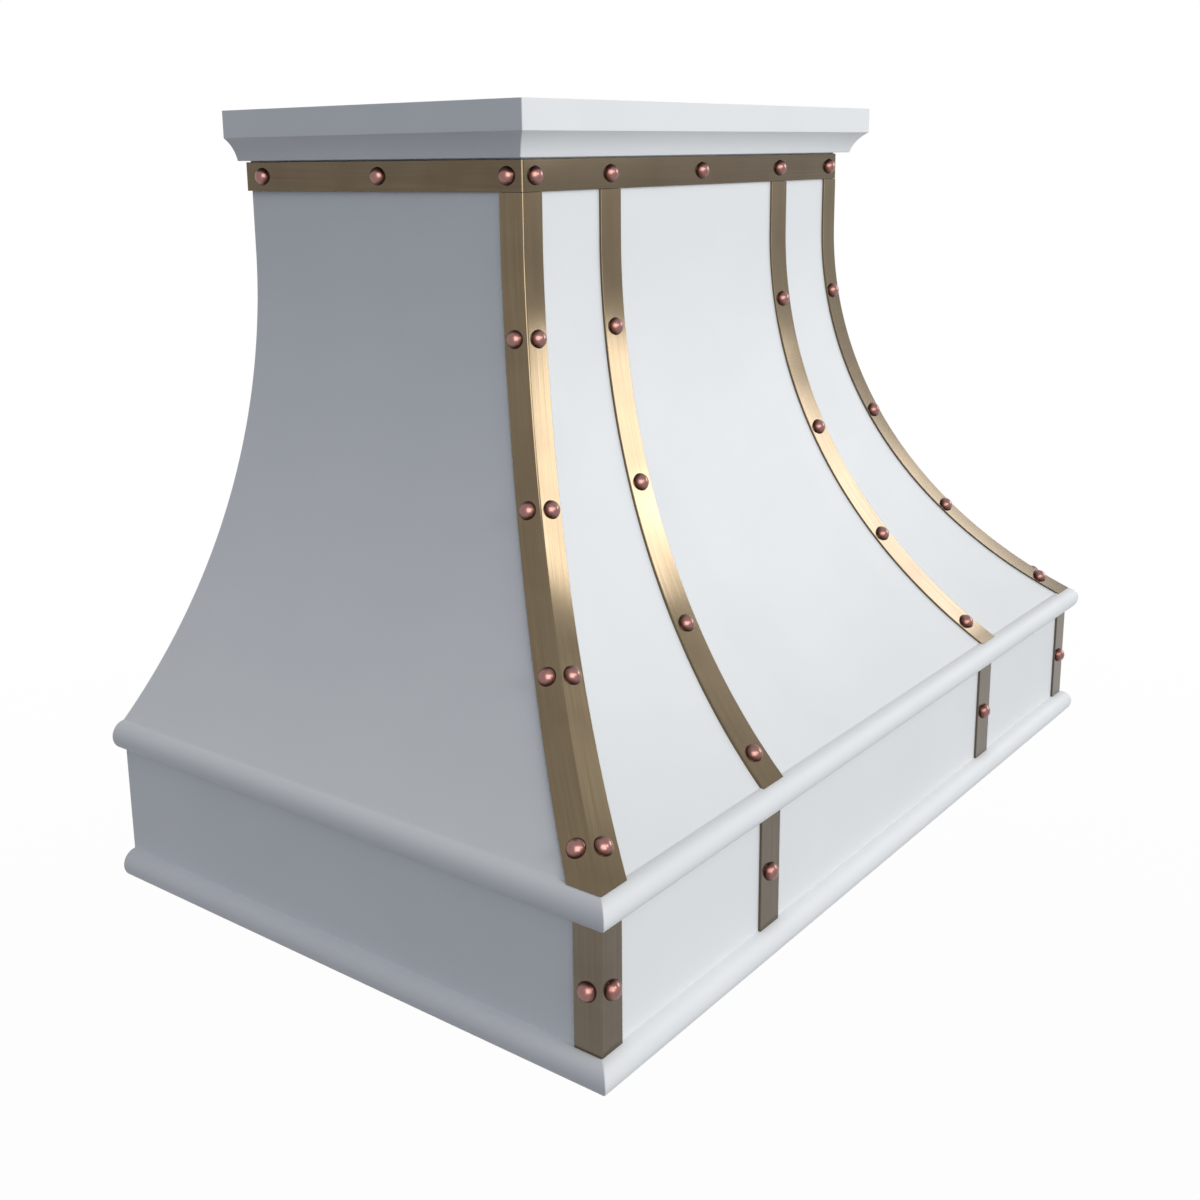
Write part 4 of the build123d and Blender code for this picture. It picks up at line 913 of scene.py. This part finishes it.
def knob(name, label):
    """Turned knob with a fluted grip, a dished face and a raised pointer towards the front."""
    low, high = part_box(name)
    x, y = (low.x + high.x) / 2, (low.y + high.y) / 2
    wide = (high.x - low.x) / 2
    face = wide - KNOB_TAPER
    outline = [(0, KNOB_DISH)] + edge_profile(KNOB_FACE_EDGE, face)
    outline += edge_profile(KNOB_FOOT_EDGE, wide, KNOB_HEIGHT)
    outline += [(KNOB_SHAFT, KNOB_HEIGHT), (KNOB_SHAFT, high.z - low.z), (0, high.z - low.z)]
    body = turned(outline, 4 * KNOB_FLUTES)
    for vertex in body.verts:
        radius = vertex.co.xy.length
        if FLUTE_START < vertex.co.z < KNOB_HEIGHT - FLUTE_STOP and radius > face / 2:
            turn = atan2(vertex.co.y, vertex.co.x)
            depth = FLUTE_DEPTH * (0.5 - 0.5 * cos(KNOB_FLUTES * turn))
            vertex.co.xy *= 1 - depth / radius
    half, tip, root = POINTER_WIDTH / 2, POINTER_FROM_EDGE - face, -face / 3
    plan = rounded([(-half, tip, POINTER_ROUND), (half, tip, POINTER_ROUND),
                    (half, root, POINTER_ROUND), (-half, root, POINTER_ROUND)], steps=5)
    pointer = prism(plan, POINTER_FACE, POINTER_ROOT, 2)
    finish_piece(label, moved(joined([body, pointer]), x, y, low.z), turned_steel,
                 [name], name, sharp=35)


def grease_cup():
    """Pressed cup with rounded corners, a rim that slides in the guides and a pull tab."""
    low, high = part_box("grease_cup")
    back, front = high.y, low.y + CUP_PULL_REACH
    near, far = front + CUP_LIP, back - CUP_LIP
    middle = (low.x + high.x) / 2
    left, right = low.x + CUP_RIM, high.x - CUP_RIM
    rim_foot = high.z - CUP_RIM_SHEET

    def loop(inset, radius, z):
        return [Vector((*p, z)) for p in rounded([
            (left + inset, near + inset, radius), (right - inset, near + inset, radius),
            (right - inset, far - inset, radius), (left + inset, far - inset, radius)], steps=6)]

    def plate(z):
        edge, pull = CUP_RIM_CORNER, CUP_PULL_CORNER
        pull_left, pull_right = middle - CUP_PULL / 2, middle + CUP_PULL / 2
        flat = rounded([(low.x, front, edge), (pull_left, front, 0), (pull_left, low.y, pull),
                        (pull_right, low.y, pull), (pull_right, front, 0), (high.x, front, edge),
                        (high.x, back, edge), (low.x, back, edge)], steps=6)
        return [Vector((*p, z)) for p in flat]

    s, r, bend, ease = CUP_SHEET, CUP_CORNER, CUP_FOOT_BEND, CUP_FOOT_EASE
    outside = [loop(0, r, rim_foot), loop(0, r, low.z + bend), loop(ease, r - ease, low.z + ease),
               loop(bend, r - bend, low.z)]
    inside = [loop(bend + s, r - bend, low.z + s), loop(s + ease, r - s, low.z + s + ease),
              loop(s, r - s, low.z + bend + s), loop(s, r - s, high.z)]
    pan, bowl = skin(outside), skin(inside)
    for part, z in ((pan, rim_foot), (bowl, high.z)):
        lids = [f for f in part.faces if all(abs(v.co.z - z) < SAME_SEAM_POINT for v in f.verts)]
        bmesh.ops.delete(part, geom=lids, context="FACES_ONLY")
    rim_top, rim_under = bmesh.new(), bmesh.new()
    for part, z, hole in ((rim_top, high.z, inside[-1]), (rim_under, rim_foot, outside[0])):
        edges = []
        for line in (plate(z), hole):
            verts = [part.verts.new(p) for p in line]
            edges += [part.edges.new((verts[i - 1], verts[i])) for i in range(len(verts))]
        bmesh.ops.triangle_fill(part, edges=edges, use_beauty=True)
    side = skin([plate(rim_foot), plate(high.z)])
    caps = [f for f in side.faces if len(f.verts) > 4]
    bmesh.ops.delete(side, geom=caps, context="FACES_ONLY")
    whole = joined([pan, bowl, rim_top, rim_under, side])
    bmesh.ops.remove_doubles(whole, verts=whole.verts[:], dist=SAME_SEAM_POINT)
    finish_piece("grease_cup_pressing", whole, stainless, ["grease_cup"], "grease_cup",
                 sharp=30)


# Top

def duct_collar():
    """Spun collar with a rolled bead that holds its flange, a rolled top edge and a damper stop."""
    low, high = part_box("duct_collar")
    flange = (high.x - low.x) / 2
    pin_low, pin_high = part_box("damper_pin")
    outer = (pin_high.x - pin_low.x) / 2
    inner = outer - COLLAR_WALL
    y = (low.y + high.y) / 2
    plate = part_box("top_plate")[1].z
    tall = high.z - low.z
    bead = plate + COLLAR_FLANGE_SHEET - COLLAR_BEAD_HALF - low.z
    wall = [(inner, 0), (outer, 0)]
    turns = [pi * (k / BEAD_STEPS - 0.5) for k in range(BEAD_STEPS + 1)]
    wall += [(outer + COLLAR_BEAD * cos(a), bead + COLLAR_BEAD_HALF * sin(a)) for a in turns]
    wall += [(outer, tall - COLLAR_ROLL), (outer - COLLAR_WALL / 2, tall), (inner, tall - COLLAR_ROLL)]
    tube = turned(wall, COLLAR_STEPS)
    ring_in = outer + COLLAR_BEAD + COLLAR_FLANGE_HOLE_GAP
    ease = COLLAR_FLANGE_EASE
    foot = plate - low.z
    head = foot + COLLAR_FLANGE_SHEET
    ring = turned([(ring_in, foot), (flange - ease, foot), (flange, foot + ease),
                   (flange, head - ease), (flange - ease, head), (ring_in, head)], COLLAR_STEPS)
    stop = (pin_low.z + pin_high.z) / 2 - STOP_DROP - low.z
    stop_in, stop_top = inner - STOP_WIDTH, stop + STOP_SHEET
    ledge = turned([(inner, stop), (stop_in, stop), (stop_in, stop_top), (inner, stop_top)],
                   COLLAR_STEPS)
    finish_piece("spun_duct_collar", moved(joined([tube, ring, ledge]), 0, y, low.z), galvanised,
                 ["duct_collar"], sharp=35)


# Studio

# The height that the lights aim at and the floor's sizes, in metres. The floor's tone rises to white
# from the first distance of its fade to the second.
AIM_HEIGHT = 0.5
FLOOR_DROP = 0.9
FLOOR_RADIUS = 8.0
FLOOR_FADE = (1.5, 4.5)
FLOOR_TONE = 0.97
# Soft lights as (name, azimuth, height, distance, width, tall, lean, power in watts, use).
# Azimuth 0 is straight in front and 90 is to the hood's right; height is that of the middle, and
# lean turns the rectangle about the line to the hood, in degrees. The use is "light" for one that
# lights everything, "sheen" for one that only shows in reflections, and "trim" for one that only
# shows in the brass and copper: over the paint it would clip to white from the hood's right.
LIGHTS = (
    ("softbox", -5, 1.75, 3.0, 0.85, 0.85, 0, 16.5, "light"),
    ("window_near", 51.6, 1.95, 6.0, 1.42, 1.83, 12.9, 48, "sheen"),
    ("window_pane", 61.3, 2.39, 6.0, 0.76, 0.76, 10, 2.3, "sheen"),
    ("window_far", 64.6, 2.47, 6.0, 2.05, 1.14, 35.7, 36, "sheen"),
    ("ceiling_glow", 55, 4.3, 6.0, 1.2, 1.2, 0, 2.2, "sheen"),
    ("reflector", -45, 1.6, 3.0, 2.8, 2.4, 0, 90, "trim"),
)
# The room's diffuse light: the strength of its even fill, and broad pools of light as (azimuth,
# elevation, strength, narrowness, colour)
ROOM_FILL = 0.08
ROOM_POOLS = (
    (0, 45, 1.05, 6.0, "#FFFCF3"),
    (45, 0, 1.36, 8.0, "#FFFCF3"),
    (-45, 20, 1.18, 6.0, "#E2EAFB"),
    (0, -35, 0.14, 3.0, "#D8E4FF"),
    (90, 20, 0.15, 2.0, "#FFFFFF"),
)


def soft_light(name, azimuth, height, distance, width, tall, lean, power, use, trim):
    """A rectangular light aimed at the hood's middle; trim is the collection of bright metal."""
    a = radians(azimuth)
    place = Vector((distance * sin(a), -distance * cos(a), height))
    data = bpy.data.lights.new(name, "AREA")
    data.shape = "RECTANGLE"
    data.size = width
    data.size_y = tall
    data.energy = power
    lamp = bpy.data.objects.new(name, data)
    lamp.location = place
    aim = (place - Vector((0, 0, AIM_HEIGHT))).to_track_quat("Z", "Y").to_matrix()
    lamp.rotation_euler = (aim @ Matrix.Rotation(radians(lean), 3, "Z")).to_euler()
    lamp.visible_diffuse = use == "light"
    if use == "trim":
        lamp.light_linking.receiver_collection = trim
    bpy.context.scene.collection.objects.link(lamp)


def seen_directly(tree):
    """1 for camera, glossy and transmission rays, so that metal and glass show the background."""
    path = add(tree, "LightPath")
    seen = path.outputs["Is Camera Ray"]
    for ray in ("Is Glossy Ray", "Is Transmission Ray"):
        seen = add(tree, "Math", {0: seen, 1: path.outputs[ray]}, operation="MAXIMUM")
    return seen


def skylight(tree):
    """Colour of the room's own light: the broad pools over an even fill."""
    way = add(tree, "TexCoord").outputs["Generated"]
    total = (ROOM_FILL, ROOM_FILL, ROOM_FILL)
    for azimuth, elevation, strength, narrowness, code in ROOM_POOLS:
        a, e = radians(azimuth), radians(elevation)
        middle = (sin(a) * cos(e), -cos(a) * cos(e), sin(e))
        facing = add(tree, "VectorMath", {0: way, 1: middle}, operation="DOT_PRODUCT")
        near = add(tree, "Math", {0: facing.outputs["Value"], 1: 0.0}, operation="MAXIMUM")
        pool = add(tree, "Math", {0: near, 1: narrowness}, operation="POWER")
        tint = [strength * share for share in colour(code)[:3]]
        total = add(tree, "VectorMath", {0: pool, 1: tint, 2: total}, operation="MULTIPLY_ADD")
    return total


def studio():
    """White room, and the lights in it."""
    scene = bpy.context.scene
    scene.view_settings.view_transform = "Standard"
    world = bpy.data.worlds.new("white_room")
    world.use_nodes = True
    scene.world = world
    tree = world.node_tree
    tree.nodes.clear()
    fill = add(tree, "Background", {"Color": skylight(tree), "Strength": 1.0})
    white = add(tree, "Background", {"Color": (1, 1, 1, 1), "Strength": 1.0})
    room = add(tree, "MixShader", {0: seen_directly(tree), 1: fill, 2: white})
    add(tree, "OutputWorld", {"Surface": room})

    trim = bpy.data.collections.new("bright_trim")
    bright = (brass, band_brass, apron_brass, copper)
    for piece in scene.collection.objects:
        if piece.type == "MESH" and piece.data.materials[0] in bright:
            trim.objects.link(piece)
    for light in LIGHTS:
        soft_light(*light, trim)


def pale_floor():
    """Round paper floor some way below the hood. It fades to white, and is clear from below."""
    material, tree = new_material("pale_floor")
    paper = add(tree, "BsdfDiffuse", {"Color": colour("#F2F3F4")})
    glow = add(tree, "Emission", {"Color": (1, 1, 1, 1), "Strength": 1.0})
    clear = add(tree, "BsdfTransparent")
    place = add(tree, "TexCoord").outputs["Object"]
    away = add(tree, "VectorMath", {0: place}, operation="LENGTH")
    fade = add(tree, "MapRange", {0: away.outputs["Value"], 1: FLOOR_FADE[0], 2: FLOOR_FADE[1],
                                  3: FLOOR_TONE, 4: 1.0})
    shown = add(tree, "Math", {0: fade, 1: seen_directly(tree)}, operation="MULTIPLY")
    top = add(tree, "MixShader", {0: shown, 1: paper, 2: glow})
    under = add(tree, "NewGeometry").outputs["Backfacing"]
    both = add(tree, "MixShader", {0: under, 1: top, 2: clear})
    add(tree, "OutputMaterial", {"Surface": both})
    bm = bmesh.new()
    bmesh.ops.create_circle(bm, cap_ends=True, segments=96, radius=FLOOR_RADIUS)
    bmesh.ops.translate(bm, verts=bm.verts[:], vec=(0, 0, -FLOOR_DROP))
    mesh = bpy.data.meshes.new("floor")
    bm.to_mesh(mesh)
    bm.free()
    mesh.materials.append(material)
    floor = bpy.data.objects.new("floor", mesh)
    # The hood hangs high over the floor, whose bounce is part of the room's fill
    floor.visible_diffuse = False
    bpy.context.scene.collection.objects.link(floor)


def photo_camera():
    """Camera at the photograph's viewpoint, as fitted to the rivets and the shell's corners."""
    data = bpy.data.cameras.new("photo_camera")
    data.lens = 43.96
    data.sensor_width = 36
    data.shift_x = 0.0268
    data.shift_y = -0.0877
    camera = bpy.data.objects.new("photo_camera", data)
    camera.location = (-1.5628, -1.0815, 0.8578)
    camera.rotation_euler = [radians(a) for a in (76.913, 0.780, -52.001)]
    bpy.context.scene.collection.objects.link(camera)
    bpy.context.scene.camera = camera


# CAD nodes that keep their own mesh, by the material each takes
carried = {
    coat: ("apron_front", "apron_left", "apron_right"),
    galvanised: ("top_plate", "back_panel", "plenum_housing", "exhaust_duct",
                 "damper_flap_front", "damper_flap_rear", "junction_box", "motor_bracket",
                 "blower_scroll", "upper_mounting_rail", "lower_mounting_rail", "control_box"),
    stainless: ("liner_pan",),
    drawn_steel: ("motor_shaft", "damper_pin", "panel_screws"),
    mill_aluminium: ("impeller",),
    motor_enamel: ("motor",),
    epdm_rubber: ("cable_grommet",),
    pvc_jacket: ("internal_wiring",),
}
for material, nodes in carried.items():
    for node in nodes:
        mesh = frame["nodes"][node].data
        mesh.materials.clear()
        mesh.materials.append(material)

flared_panels()
rails()
crown()
top_band()
face_straps()
corner_straps()
apron_straps()
rivets()
for place in ("left", "centre", "right"):
    filter_frame(place)
    filter_baffles(place)
    filter_bail(place)
lamps()
knob("fan_knob", "fan_speed_knob")
knob("light_knob", "lamp_knob")
grease_cup()
duct_collar()
studio()
pale_floor()
photo_camera()
